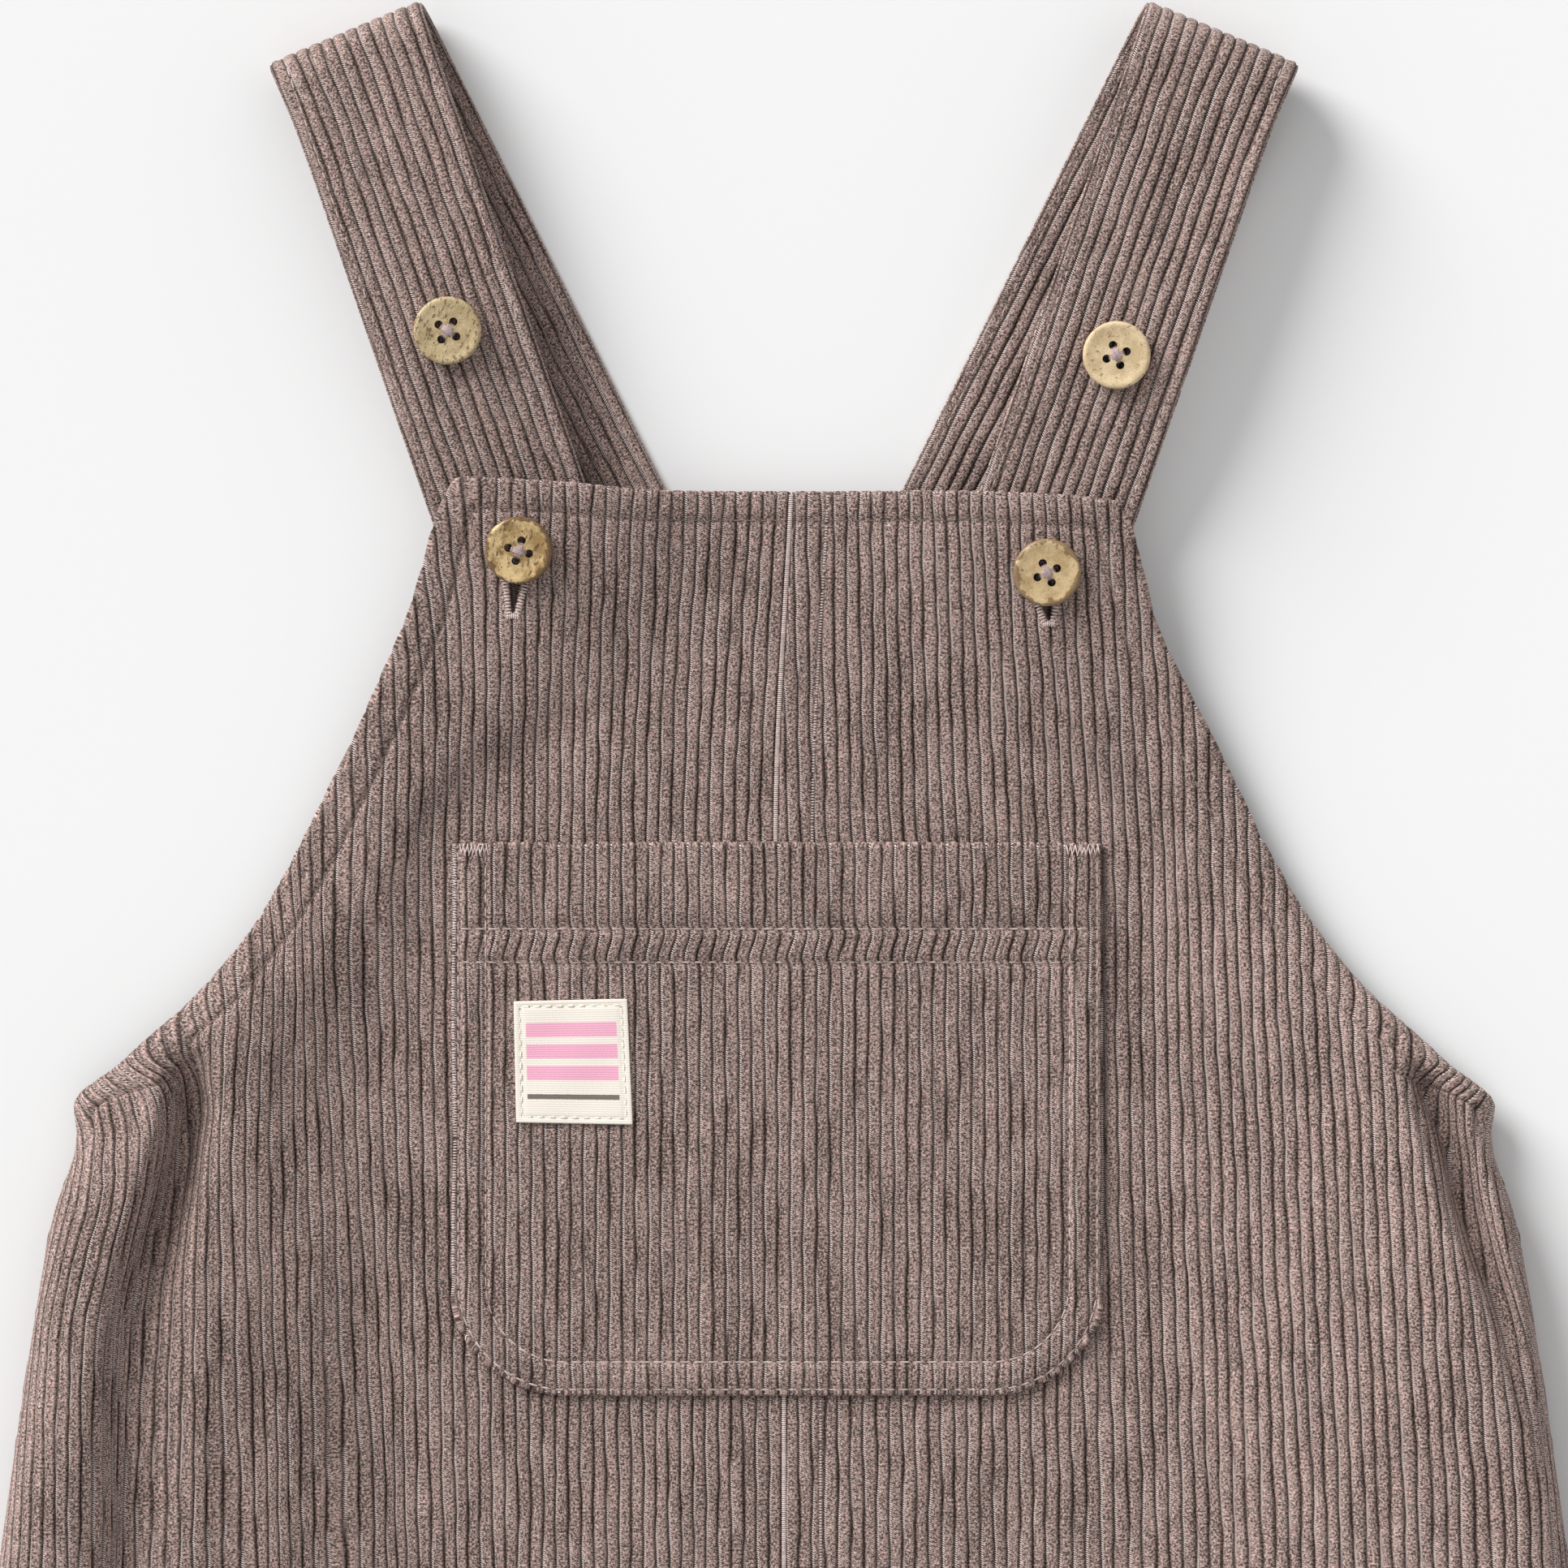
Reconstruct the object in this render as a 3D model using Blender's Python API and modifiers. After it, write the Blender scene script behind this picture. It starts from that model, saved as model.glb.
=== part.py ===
"""A child's corduroy pinafore dress, laid on its back on a flat surface.

Metres, +Z up. The back panel rests on z = 0, the hem is at -Y and the straps
fold over at +Y. Left and right are as seen from above, looking at the front.
"""

import math
from collections import namedtuple

import bmesh
import bpy
from mathutils import Matrix, Vector

MM = 0.001

# Cloth
WALL = 1.8 * MM
BACK_WALL = 1.5 * MM
STRAP_WALL = 2.4 * MM
SEAM_GAP = 0.3 * MM
SIDE_SEAM_GAP = 1.3 * MM

# Lengths from the hem, which lies at HEM_Y
HEM_Y = -280.4 * MM
UNDERARM_Y = 18.8 * MM
POCKET_CLEAR_Y = 86.0 * MM
BIB_TOP_Y = 164.4 * MM
BACK_TOP_Y = 107.5 * MM
SIDE_HALF = 168.8 * MM
BACK_TOP_HALF = 42.5 * MM

# The front's outline: half its width at each height
Outline = namedtuple("Outline", "y half")
FRONT_OUTLINE = (
    Outline(HEM_Y, 210.6 * MM),
    Outline(-84.8 * MM, 185.6 * MM),
    Outline(-27.1 * MM, 177.1 * MM),
    Outline(-7.9 * MM, 173.7 * MM),
    Outline(12.3 * MM, 168.0 * MM),
    Outline(UNDERARM_Y, SIDE_HALF),
    Outline(30.6 * MM, 156.4 * MM),
    Outline(49.8 * MM, 135.8 * MM),
    Outline(69.0 * MM, 121.3 * MM),
    Outline(97.9 * MM, 106.3 * MM),
    Outline(117.1 * MM, 97.0 * MM),
    Outline(136.3 * MM, 88.4 * MM),
    Outline(157.0 * MM, 83.0 * MM),
    Outline(BIB_TOP_Y, 79.5 * MM),
)
# The back's armhole, scooped lower than the front's so that it stays hidden
BACK_ARMHOLE = (
    Outline(UNDERARM_Y, SIDE_HALF),
    Outline(26.0 * MM, 140.0 * MM),
    Outline(40.0 * MM, 105.0 * MM),
    Outline(62.0 * MM, 75.0 * MM),
    Outline(85.0 * MM, 54.0 * MM),
    Outline(BACK_TOP_Y, BACK_TOP_HALF),
)
# The bib's top edge runs a little downhill from the left corner to the right one
TopEdge = namedtuple("TopEdge", "x rise")
BIB_TOP_EDGE = (
    TopEdge(-80.0 * MM, 3.6 * MM),
    TopEdge(-55.0 * MM, 2.3 * MM),
    TopEdge(-27.0 * MM, 0.2 * MM),
    TopEdge(30.0 * MM, 0.2 * MM),
    TopEdge(65.0 * MM, -0.9 * MM),
    TopEdge(80.0 * MM, -2.6 * MM),
)

# How the front lies: height of its outer face at the middle, half width of the
# flat middle, height of the crown beside it, width of the roll from the crown
# down to the edge, and height of that edge
Lie = namedtuple("Lie", "y middle flat crown roll edge")
FRONT_LIE = (
    Lie(HEM_Y, 3.8 * MM, 100 * MM, 18.0 * MM, 14 * MM, 8.0 * MM),
    Lie(-100 * MM, 3.8 * MM, 85 * MM, 20.5 * MM, 12 * MM, 8.5 * MM),
    Lie(-27 * MM, 3.8 * MM, 85 * MM, 20.0 * MM, 12 * MM, 8.5 * MM),
    Lie(0.0, 3.8 * MM, 85 * MM, 18.0 * MM, 13 * MM, 6.0 * MM),
    Lie(UNDERARM_Y, 3.8 * MM, 85 * MM, 15.0 * MM, 16 * MM, 4.4 * MM),
    Lie(50 * MM, 3.9 * MM, 85 * MM, 10.5 * MM, 18 * MM, 5.6 * MM),
    Lie(POCKET_CLEAR_Y, 5.0 * MM, 80 * MM, 8.6 * MM, 18 * MM, 7.2 * MM),
    Lie(115 * MM, 6.4 * MM, 36 * MM, 10.2 * MM, 26 * MM, 9.6 * MM),
    Lie(135 * MM, 7.5 * MM, 16 * MM, 12.4 * MM, 26 * MM, 12.0 * MM),
    Lie(150 * MM, 8.6 * MM, 8 * MM, 14.6 * MM, 24 * MM, 14.4 * MM),
    Lie(168 * MM, 9.6 * MM, 8 * MM, 17.4 * MM, 22 * MM, 17.2 * MM),
)

# Large folds of the skirt: where each runs, its height (a trough is negative)
# and the half width of its slope
Fold = namedtuple("Fold", "y x height reach")
FOLDS = {
    "left_underarm_trough": (
        Fold(36 * MM, -141.5 * MM, 0.0, 9 * MM),
        Fold(22 * MM, -140.5 * MM, -5.5 * MM, 10 * MM),
        Fold(0.0, -145.0 * MM, -7.5 * MM, 12 * MM),
        Fold(-30 * MM, -150.0 * MM, -6.5 * MM, 14 * MM),
        Fold(-90 * MM, -153.0 * MM, -5.0 * MM, 17 * MM),
        Fold(HEM_Y, -160.0 * MM, -2.5 * MM, 22 * MM),
    ),
    "left_inner_ridge": (
        Fold(10 * MM, -113.0 * MM, 0.0, 16 * MM),
        Fold(-30 * MM, -114.5 * MM, 2.0 * MM, 20 * MM),
        Fold(HEM_Y, -117.0 * MM, 2.5 * MM, 24 * MM),
    ),
    "right_underarm_trough": (
        Fold(34 * MM, 150.5 * MM, 0.0, 8 * MM),
        Fold(20 * MM, 153.0 * MM, -4.0 * MM, 9 * MM),
        Fold(0.0, 159.5 * MM, -5.0 * MM, 10 * MM),
        Fold(-25 * MM, 167.0 * MM, -3.0 * MM, 9 * MM),
        Fold(-50 * MM, 171.0 * MM, 0.0, 9 * MM),
    ),
    "right_inner_ridge": (
        Fold(10 * MM, 114.0 * MM, 0.0, 16 * MM),
        Fold(-30 * MM, 115.0 * MM, 2.0 * MM, 20 * MM),
        Fold(HEM_Y, 118.0 * MM, 2.5 * MM, 24 * MM),
    ),
}

# The folds fade out over the roll, from this share of its width on
FOLDS_FADE_FROM = 0.2

# Where the grid's columns lie, as shares of the front's half width
FRONT_COLUMNS = (
    0.0, 0.14, 0.28, 0.40, 0.48, 0.55, 0.62, 0.69, 0.74,
    0.785, 0.825, 0.865, 0.90, 0.932, 0.965, 0.988, 0.998, 1.0,
)
SKIRT_ROWS = 14
ARMHOLE_ROWS = 6
BIB_ROWS = 7
BACK_YOKE_ROWS = 6
BACK_CURL = 30 * MM

# Straps: a flat band folded over a round of FOLD_RADIUS, seen here on the left
STRAP_WIDTH = 37.3 * MM
FOLD_RADIUS = 8.5 * MM
FOLD_TILT = math.radians(22.7)
STRAP_LEAN = math.radians(3.7)
FOLD_CENTRE = Vector((-104.1 * MM, 273.1 * MM))
STRAP_FRONT_LENGTH = 142 * MM
FOLD_RUN = math.pi * FOLD_RADIUS
STRAP_FLAT_RUN = 1.1 * FOLD_RUN
StrapLie = namedtuple("StrapLie", "run z")
STRAP_LIE = (
    StrapLie(0.0, 2 * FOLD_RADIUS),
    StrapLie(30 * MM, 18.0 * MM),
    StrapLie(60 * MM, 17.6 * MM),
    StrapLie(80 * MM, 16.0 * MM),
    StrapLie(97 * MM, 13.6 * MM),
    StrapLie(118 * MM, 10.4 * MM),
    StrapLie(STRAP_FRONT_LENGTH, 7.2 * MM),
)
STRAP_FRONT_ROWS = 12
STRAP_FOLD_ROWS = 11
STRAP_BACK_ROWS = 6
STRAP_COLUMNS = 4

# Pocket and label patch, which lie on the flat middle
POCKET_LEFT = -79.0 * MM
POCKET_RIGHT = 76.0 * MM
POCKET_TOP_Y = 81.0 * MM
POCKET_BOTTOM_Y = -50.6 * MM
POCKET_CORNER = 27.0 * MM
POCKET_COLUMNS = 10
POCKET_SIDE_ROWS = 6
POCKET_CORNER_ROWS = 5
LABEL_CENTRE = Vector((-50.0 * MM, 28.9 * MM))
LABEL_WIDTH = 27.5 * MM
LABEL_HEIGHT = 29.2 * MM
LABEL_WALL = 0.6 * MM

# Buttons, four holes each, and the bib's buttonholes
BUTTON_RADIUS = 8.0 * MM
BUTTON_THICKNESS = 2.6 * MM
BUTTON_BEVEL = 0.6 * MM
BUTTON_HOLE_RADIUS = 1.0 * MM
BUTTON_HOLE_RING = 2.6 * MM
BUTTON_SEAT = 0.45 * MM
BUTTON_SIDES = 24
BUTTON_HOLE_SIDES = 8
BUTTONHOLE_WIDTH = 1.2 * MM
BUTTONHOLE_LENGTH = 18.0 * MM
STRAP_BUTTONS = {
    "button_strap_left": Vector((-79.3 * MM, 201.7 * MM)),
    "button_strap_right": Vector((78.4 * MM, 196.0 * MM)),
}
BIB_BUTTONS = {
    "button_bib_left": Vector((-62.6 * MM, 150.2 * MM)),
    "button_bib_right": Vector((62.1 * MM, 145.0 * MM)),
}
BUTTONHOLE_FOOT = {
    "front_panel_left": Vector((-64.1 * MM, 134.0 * MM)),
    "front_panel_right": Vector((62.6 * MM, 132.1 * MM)),
}

SEAT_SAMPLES = 16
SLIT_DEPTH = 40 * MM
DRILL_DEPTH = 3 * BUTTON_THICKNESS

# Edges sharper than these stay crisp when the faces are shaded smooth
CLOTH_CREASE = math.radians(50)
BUTTON_CREASE = math.radians(40)
RIM_ANGLE = math.radians(60)

# Finishes: linear colour and roughness
Finish = namedtuple("Finish", "colour roughness")
CORDUROY = Finish((0.245, 0.175, 0.155, 1.0), 0.95)
LABEL_COTTON = Finish((0.87, 0.81, 0.70, 1.0), 0.9)
COCONUT_SHELL = Finish((0.50, 0.36, 0.18, 1.0), 0.5)


def ease(start, end, value):
    """0 before start, 1 after end, smooth between."""
    share = min(1.0, max(0.0, (value - start) / (end - start)))
    return share * share * (3.0 - 2.0 * share)


def between(rows, value, column):
    """The column's value at this place of the table's first column, through a smooth monotone curve."""
    places = [row[0] for row in rows]
    values = [getattr(row, column) for row in rows]
    if places[0] > places[-1]:
        places.reverse()
        values.reverse()
    value = min(places[-1], max(places[0], value))
    last = len(places) - 1
    k = max(0, min(last - 1, sum(place < value for place in places) - 1))
    slopes = [
        (values[i + 1] - values[i]) / (places[i + 1] - places[i]) for i in range(last)
    ]
    tangents = [slopes[0]] + [0.0] * (last - 1) + [slopes[-1]]
    for i in range(1, last):
        if slopes[i - 1] * slopes[i] > 0:
            tangents[i] = 2 * slopes[i - 1] * slopes[i] / (slopes[i - 1] + slopes[i])
    width = places[k + 1] - places[k]
    t = (value - places[k]) / width
    return (
        values[k] * (1 + 2 * t) * (1 - t) ** 2
        + width * tangents[k] * t * (1 - t) ** 2
        + values[k + 1] * t * t * (3 - 2 * t)
        + width * tangents[k + 1] * t * t * (t - 1)
    )


def fold_height(x, y):
    """What the large folds add to the front's height here."""
    total = 0.0
    for rows in FOLDS.values():
        centre = between(rows, y, "x")
        reach = between(rows, y, "reach")
        offset = abs(x - centre) / reach
        if offset < 1.0 and y <= rows[0].y:
            total += between(rows, y, "height") * math.cos(offset * math.pi / 2) ** 2
    return total


def front_height(x, y):
    """Height of the front's outer face above the surface that the dress lies on."""
    half = between(FRONT_OUTLINE, y, "half")
    middle = between(FRONT_LIE, y, "middle")
    crown = between(FRONT_LIE, y, "crown")
    edge = between(FRONT_LIE, y, "edge")
    roll = between(FRONT_LIE, y, "roll")
    flat = between(FRONT_LIE, y, "flat")
    shoulder = half - roll
    across = abs(x)
    height = middle + (crown - middle) * ease(flat, shoulder, across)
    drop = min(1.0, max(0.0, (across - shoulder) / roll))
    height -= (crown - edge) * (1.0 - math.sqrt(1.0 - drop * drop))
    return height + fold_height(x, y) * (1.0 - ease(FOLDS_FADE_FROM, 1.0, drop))


def back_height(x, y):
    """Height of the back's under face: flat, and curled up to the side seam."""
    half = between(FRONT_OUTLINE, min(y, UNDERARM_Y), "half")
    edge = between(FRONT_LIE, min(y, UNDERARM_Y), "edge") - SIDE_SEAM_GAP
    share = min(1.0, max(0.0, (abs(x) - (half - BACK_CURL)) / BACK_CURL))
    return edge * (1.0 - math.sqrt(1.0 - share * share))


def spread(start, end, count):
    """Count values from start towards end, without the end."""
    return [start + (end - start) * i / count for i in range(count)]


def new_material(name, finish):
    material = bpy.data.materials.new(name)
    material.use_nodes = True
    shader = material.node_tree.nodes["Principled BSDF"]
    shader.inputs["Base Color"].default_value = finish.colour
    shader.inputs["Roughness"].default_value = finish.roughness
    shader.inputs["Metallic"].default_value = 0.0
    material.diffuse_color = finish.colour
    return material


def new_object(name, mesh, collection, material):
    obj = bpy.data.objects.new(name, mesh)
    collection.objects.link(obj)
    mesh.materials.append(material)
    return obj


def grid_mesh(name, columns, rows, place):
    """A grid of columns by rows cells whose points place(column, row) sets."""
    shape = bmesh.new()
    bmesh.ops.create_grid(shape, x_segments=columns, y_segments=rows, size=1.0)
    for vertex in shape.verts:
        column = round((vertex.co.x + 1.0) / 2.0 * columns)
        row = round((vertex.co.y + 1.0) / 2.0 * rows)
        vertex.co = place(column, row)
    bmesh.ops.recalc_face_normals(shape, faces=shape.faces)
    mesh = bpy.data.meshes.new(name)
    shape.to_mesh(mesh)
    shape.free()
    return mesh


def face_up(mesh, up):
    """Turns the open mesh so that its normals point up, or down."""
    total = sum(face.normal.z * face.area for face in mesh.polygons)
    if (total > 0) != up:
        mesh.flip_normals()


def thicken(obj, thickness):
    """Gives the open mesh its wall, inwards from its outer face."""
    wall = obj.modifiers.new("Wall", "SOLIDIFY")
    wall.thickness = thickness
    wall.offset = -1.0
    wall.use_even_offset = False
    obj.data.shade_smooth()
    obj.data.set_sharp_from_angle(angle=CLOTH_CREASE)


def build_front(name, side, collection, material):
    """Half of the front, from the centre seam (side is -1 on the left) to the side seam and armhole."""
    heights = (
        spread(HEM_Y, UNDERARM_Y, SKIRT_ROWS)
        + spread(UNDERARM_Y, POCKET_CLEAR_Y, ARMHOLE_ROWS)
        + spread(POCKET_CLEAR_Y, BIB_TOP_Y, BIB_ROWS)
        + [BIB_TOP_Y]
    )

    def place(column, row):
        y = heights[row]
        half = between(FRONT_OUTLINE, y, "half")
        across = max(SEAM_GAP / 2, FRONT_COLUMNS[column] * half)
        x = side * across
        z = front_height(x, y)
        rise = between(BIB_TOP_EDGE, x, "rise") * ease(POCKET_CLEAR_Y, BIB_TOP_Y, y)
        return Vector((x, y + rise, z))

    mesh = grid_mesh(name, len(FRONT_COLUMNS) - 1, len(heights) - 1, place)
    face_up(mesh, True)
    obj = new_object(name, mesh, collection, material)
    thicken(obj, WALL)
    return obj


def build_back(collection, material):
    """The back in one piece, its under face flat on the surface."""
    right = list(FRONT_COLUMNS[2:])
    shares = [-share for share in reversed(right)] + [0.0] + right
    heights = (
        spread(HEM_Y, UNDERARM_Y, SKIRT_ROWS)
        + spread(UNDERARM_Y, BACK_TOP_Y, BACK_YOKE_ROWS)
        + [BACK_TOP_Y]
    )

    def place(column, row):
        y = heights[row]
        outline = FRONT_OUTLINE if y <= UNDERARM_Y else BACK_ARMHOLE
        x = shares[column] * between(outline, y, "half")
        return Vector((x, y, back_height(x, y)))

    mesh = grid_mesh("back_panel", len(shares) - 1, len(heights) - 1, place)
    face_up(mesh, False)
    obj = new_object("back_panel", mesh, collection, material)
    thicken(obj, BACK_WALL)
    return obj


def strap_point(run, across):
    """A point of the left strap's outer face.

    run is the distance along the band from where its fold starts, negative on
    the front; across is measured from its middle towards the garment's middle.
    """
    along = Vector((-math.sin(FOLD_TILT), math.cos(FOLD_TILT)))
    aside = Vector((math.cos(FOLD_TILT), math.sin(FOLD_TILT)))
    start = FOLD_CENTRE - along * FOLD_RADIUS
    ahead = run * math.cos(STRAP_LEAN) - across * math.sin(STRAP_LEAN)
    beside = run * math.sin(STRAP_LEAN) + across * math.cos(STRAP_LEAN)
    turn = ahead / FOLD_RADIUS
    if turn <= 0.0:
        flat = start + along * ahead + aside * beside
        return Vector((flat.x, flat.y, between(STRAP_LIE, -ahead, "z")))
    if turn < math.pi:
        flat = start + along * (math.sin(turn) * FOLD_RADIUS) + aside * beside
        return Vector((flat.x, flat.y, FOLD_RADIUS * (1.0 + math.cos(turn))))
    flat = start - along * (ahead - FOLD_RUN) + aside * beside
    return Vector((flat.x, flat.y, 0.0))


def strap_end(across):
    """The run at which the back of the band meets the back panel's top edge."""
    near = strap_point(2 * FOLD_RUN, across)
    far = strap_point(3 * FOLD_RUN, across)
    per_metre = (far.y - near.y) / FOLD_RUN
    return 2 * FOLD_RUN + (BACK_TOP_Y + SEAM_GAP - near.y) / per_metre


def build_strap(name, side, collection, material):
    """A strap of doubled cloth, from its free end under the bib, over the fold, to the back panel."""
    runs = spread(-STRAP_FRONT_LENGTH, 0.0, STRAP_FRONT_ROWS)
    runs += spread(0.0, STRAP_FLAT_RUN, STRAP_FOLD_ROWS)

    def place(column, row):
        across = STRAP_WIDTH * (column / STRAP_COLUMNS - 0.5)
        if row < len(runs):
            run = runs[row]
        else:
            share = (row - len(runs)) / STRAP_BACK_ROWS
            run = STRAP_FLAT_RUN + (strap_end(across) - STRAP_FLAT_RUN) * share
        point = strap_point(run, across)
        return Vector((-side * min(point.x, -SEAM_GAP / 2), point.y, point.z))

    rows = len(runs) + STRAP_BACK_ROWS
    mesh = grid_mesh(name, STRAP_COLUMNS, rows, place)
    front = max(mesh.polygons, key=lambda face: face.center.z)
    if front.normal.z < 0:
        mesh.flip_normals()
    obj = new_object(name, mesh, collection, material)
    thicken(obj, STRAP_WALL)
    return obj


def build_pocket(collection, material):
    """The patch pocket on the front's outer face, with round lower corners."""
    top = POCKET_TOP_Y
    knee = POCKET_BOTTOM_Y + POCKET_CORNER
    heights = spread(top, knee, POCKET_SIDE_ROWS)
    for i in range(POCKET_CORNER_ROWS + 1):
        turn = math.radians(90) * i / POCKET_CORNER_ROWS
        heights.append(knee - POCKET_CORNER * math.sin(turn))

    def place(column, row):
        y = heights[row]
        below = max(0.0, knee - y) / POCKET_CORNER
        inset = POCKET_CORNER * (1.0 - math.sqrt(max(0.0, 1.0 - below * below)))
        left = POCKET_LEFT + inset
        right = POCKET_RIGHT - inset
        x = left + (right - left) * column / POCKET_COLUMNS
        return Vector((x, y, front_height(x, y) + SEAM_GAP + WALL))

    mesh = grid_mesh("pocket", POCKET_COLUMNS, len(heights) - 1, place)
    face_up(mesh, True)
    obj = new_object("pocket", mesh, collection, material)
    thicken(obj, WALL)
    return obj


def build_label(collection, material):
    """The cotton patch sewn on the pocket."""
    ground = front_height(LABEL_CENTRE.x, LABEL_CENTRE.y) + SEAM_GAP + WALL
    shape = bmesh.new()
    bmesh.ops.create_cube(shape, size=1.0)
    bmesh.ops.scale(shape, verts=shape.verts, vec=(LABEL_WIDTH, LABEL_HEIGHT, LABEL_WALL))
    mesh = bpy.data.meshes.new("label_patch")
    shape.to_mesh(mesh)
    shape.free()
    obj = new_object("label_patch", mesh, collection, material)
    obj.location = (LABEL_CENTRE.x, LABEL_CENTRE.y, ground + SEAM_GAP + LABEL_WALL / 2)
    return obj


def build_button_mesh(collection, cutters, material):
    """A round button with a softened rim and four holes, its under face at z = 0."""
    shape = bmesh.new()
    bmesh.ops.create_cone(
        shape,
        cap_ends=True,
        segments=BUTTON_SIDES,
        radius1=BUTTON_RADIUS,
        radius2=BUTTON_RADIUS,
        depth=BUTTON_THICKNESS,
    )
    bmesh.ops.translate(shape, verts=shape.verts, vec=(0, 0, BUTTON_THICKNESS / 2))
    mesh = bpy.data.meshes.new("button")
    shape.to_mesh(mesh)
    shape.free()
    blank = new_object("button_blank", mesh, collection, material)
    rim = blank.modifiers.new("Rim", "BEVEL")
    rim.width = BUTTON_BEVEL
    rim.segments = 1
    rim.angle_limit = RIM_ANGLE
    drill = bmesh.new()
    for i in range(4):
        turn = math.radians(45 + 90 * i)
        centre = (
            BUTTON_HOLE_RING * math.cos(turn),
            BUTTON_HOLE_RING * math.sin(turn),
            BUTTON_THICKNESS / 2,
        )
        bmesh.ops.create_cone(
            drill,
            cap_ends=True,
            segments=BUTTON_HOLE_SIDES,
            radius1=BUTTON_HOLE_RADIUS,
            radius2=BUTTON_HOLE_RADIUS,
            depth=DRILL_DEPTH,
            matrix=Matrix.Translation(centre),
        )
    drill_mesh = bpy.data.meshes.new("button_drill")
    drill.to_mesh(drill_mesh)
    drill.free()
    cutter = new_object("button_drill", drill_mesh, cutters, material)
    cutter.hide_render = True
    cutter.display_type = "WIRE"
    holes = blank.modifiers.new("Holes", "BOOLEAN")
    holes.object = cutter
    holes.operation = "DIFFERENCE"
    holes.solver = "EXACT"
    bpy.context.view_layer.update()
    graph = bpy.context.evaluated_depsgraph_get()
    finished = bpy.data.meshes.new_from_object(blank.evaluated_get(graph))
    bpy.data.objects.remove(blank)
    finished.shade_smooth()
    finished.set_sharp_from_angle(angle=BUTTON_CREASE)
    return finished


def seat_button(name, mesh, collection, at, surface):
    """Lays a button on surface(x, y), tilted with it, just clear of its highest point."""
    step = BUTTON_RADIUS
    slope_x = (surface(at.x + step, at.y) - surface(at.x - step, at.y)) / (2 * step)
    slope_y = (surface(at.x, at.y + step) - surface(at.x, at.y - step)) / (2 * step)
    base = surface(at.x, at.y)
    lift = 0.0
    for i in range(SEAT_SAMPLES):
        turn = math.tau * i / SEAT_SAMPLES
        dx = BUTTON_RADIUS * math.cos(turn)
        dy = BUTTON_RADIUS * math.sin(turn)
        plane = base + slope_x * dx + slope_y * dy
        lift = max(lift, surface(at.x + dx, at.y + dy) - plane)
    normal = Vector((-slope_x, -slope_y, 1.0)).normalized()
    obj = bpy.data.objects.new(name, mesh)
    collection.objects.link(obj)
    obj.rotation_mode = "QUATERNION"
    obj.rotation_quaternion = normal.to_track_quat("Z", "Y")
    obj.location = Vector((at.x, at.y, base + lift)) + normal * BUTTON_SEAT
    return obj


def strap_surface(side):
    """Height of a strap's outer face on its front run, at any x and y."""
    along = Vector((-math.sin(FOLD_TILT), math.cos(FOLD_TILT)))
    start = FOLD_CENTRE - along * FOLD_RADIUS

    def height(x, y):
        ahead = (Vector((-side * x, y)) - start).dot(along)
        return between(STRAP_LIE, -ahead, "z")

    return height


def cut_buttonhole(panel, foot, cutters, material):
    """An upright slit through the panel, from its foot up to behind the button."""
    shape = bmesh.new()
    bmesh.ops.create_cube(shape, size=1.0)
    size = (BUTTONHOLE_WIDTH, BUTTONHOLE_LENGTH, SLIT_DEPTH)
    bmesh.ops.scale(shape, verts=shape.verts, vec=size)
    mesh = bpy.data.meshes.new(panel.name + "_slit")
    shape.to_mesh(mesh)
    shape.free()
    cutter = new_object(mesh.name, mesh, cutters, material)
    cutter.location = (foot.x, foot.y + BUTTONHOLE_LENGTH / 2, SLIT_DEPTH / 4)
    cutter.hide_render = True
    cutter.display_type = "WIRE"
    slit = panel.modifiers.new("Buttonhole", "BOOLEAN")
    slit.object = cutter
    slit.operation = "DIFFERENCE"
    slit.solver = "EXACT"


def clear_scene():
    for obj in list(bpy.data.objects):
        bpy.data.objects.remove(obj)


def main():
    clear_scene()
    scene = bpy.context.scene
    dress = bpy.data.collections.new("pinafore_dress")
    cutters = bpy.data.collections.new("cutters")
    scene.collection.children.link(dress)
    scene.collection.children.link(cutters)
    cloth = new_material("corduroy", CORDUROY)
    cotton = new_material("label_cotton", LABEL_COTTON)
    coconut = new_material("coconut_shell", COCONUT_SHELL)
    for name, side in (("front_panel_left", -1), ("front_panel_right", 1)):
        panel = build_front(name, side, dress, cloth)
        cut_buttonhole(panel, BUTTONHOLE_FOOT[name], cutters, cloth)
    build_back(dress, cloth)
    for name, side in (("strap_left", -1), ("strap_right", 1)):
        build_strap(name, side, dress, cloth)
    build_pocket(dress, cloth)
    build_label(dress, cotton)
    button = build_button_mesh(dress, cutters, coconut)
    for name, at in STRAP_BUTTONS.items():
        seat_button(name, button, dress, at, strap_surface(math.copysign(1, at.x)))
    for name, at in BIB_BUTTONS.items():
        seat_button(name, button, dress, at, front_height)


main()
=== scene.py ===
"""A child's corduroy pinafore dress, laid on its back: its cloth, trims and studio.

Metres, +Z up. The hem is at -Y, the straps fold over at +Y. Left and right are
as seen from above.
"""

import math
from functools import partial, reduce

import bmesh
import bpy
import numpy as np
from bpy.props import FloatProperty, FloatVectorProperty, PointerProperty
from bpy.types import Operator, Panel, PropertyGroup
from mathutils import Matrix, Vector


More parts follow.
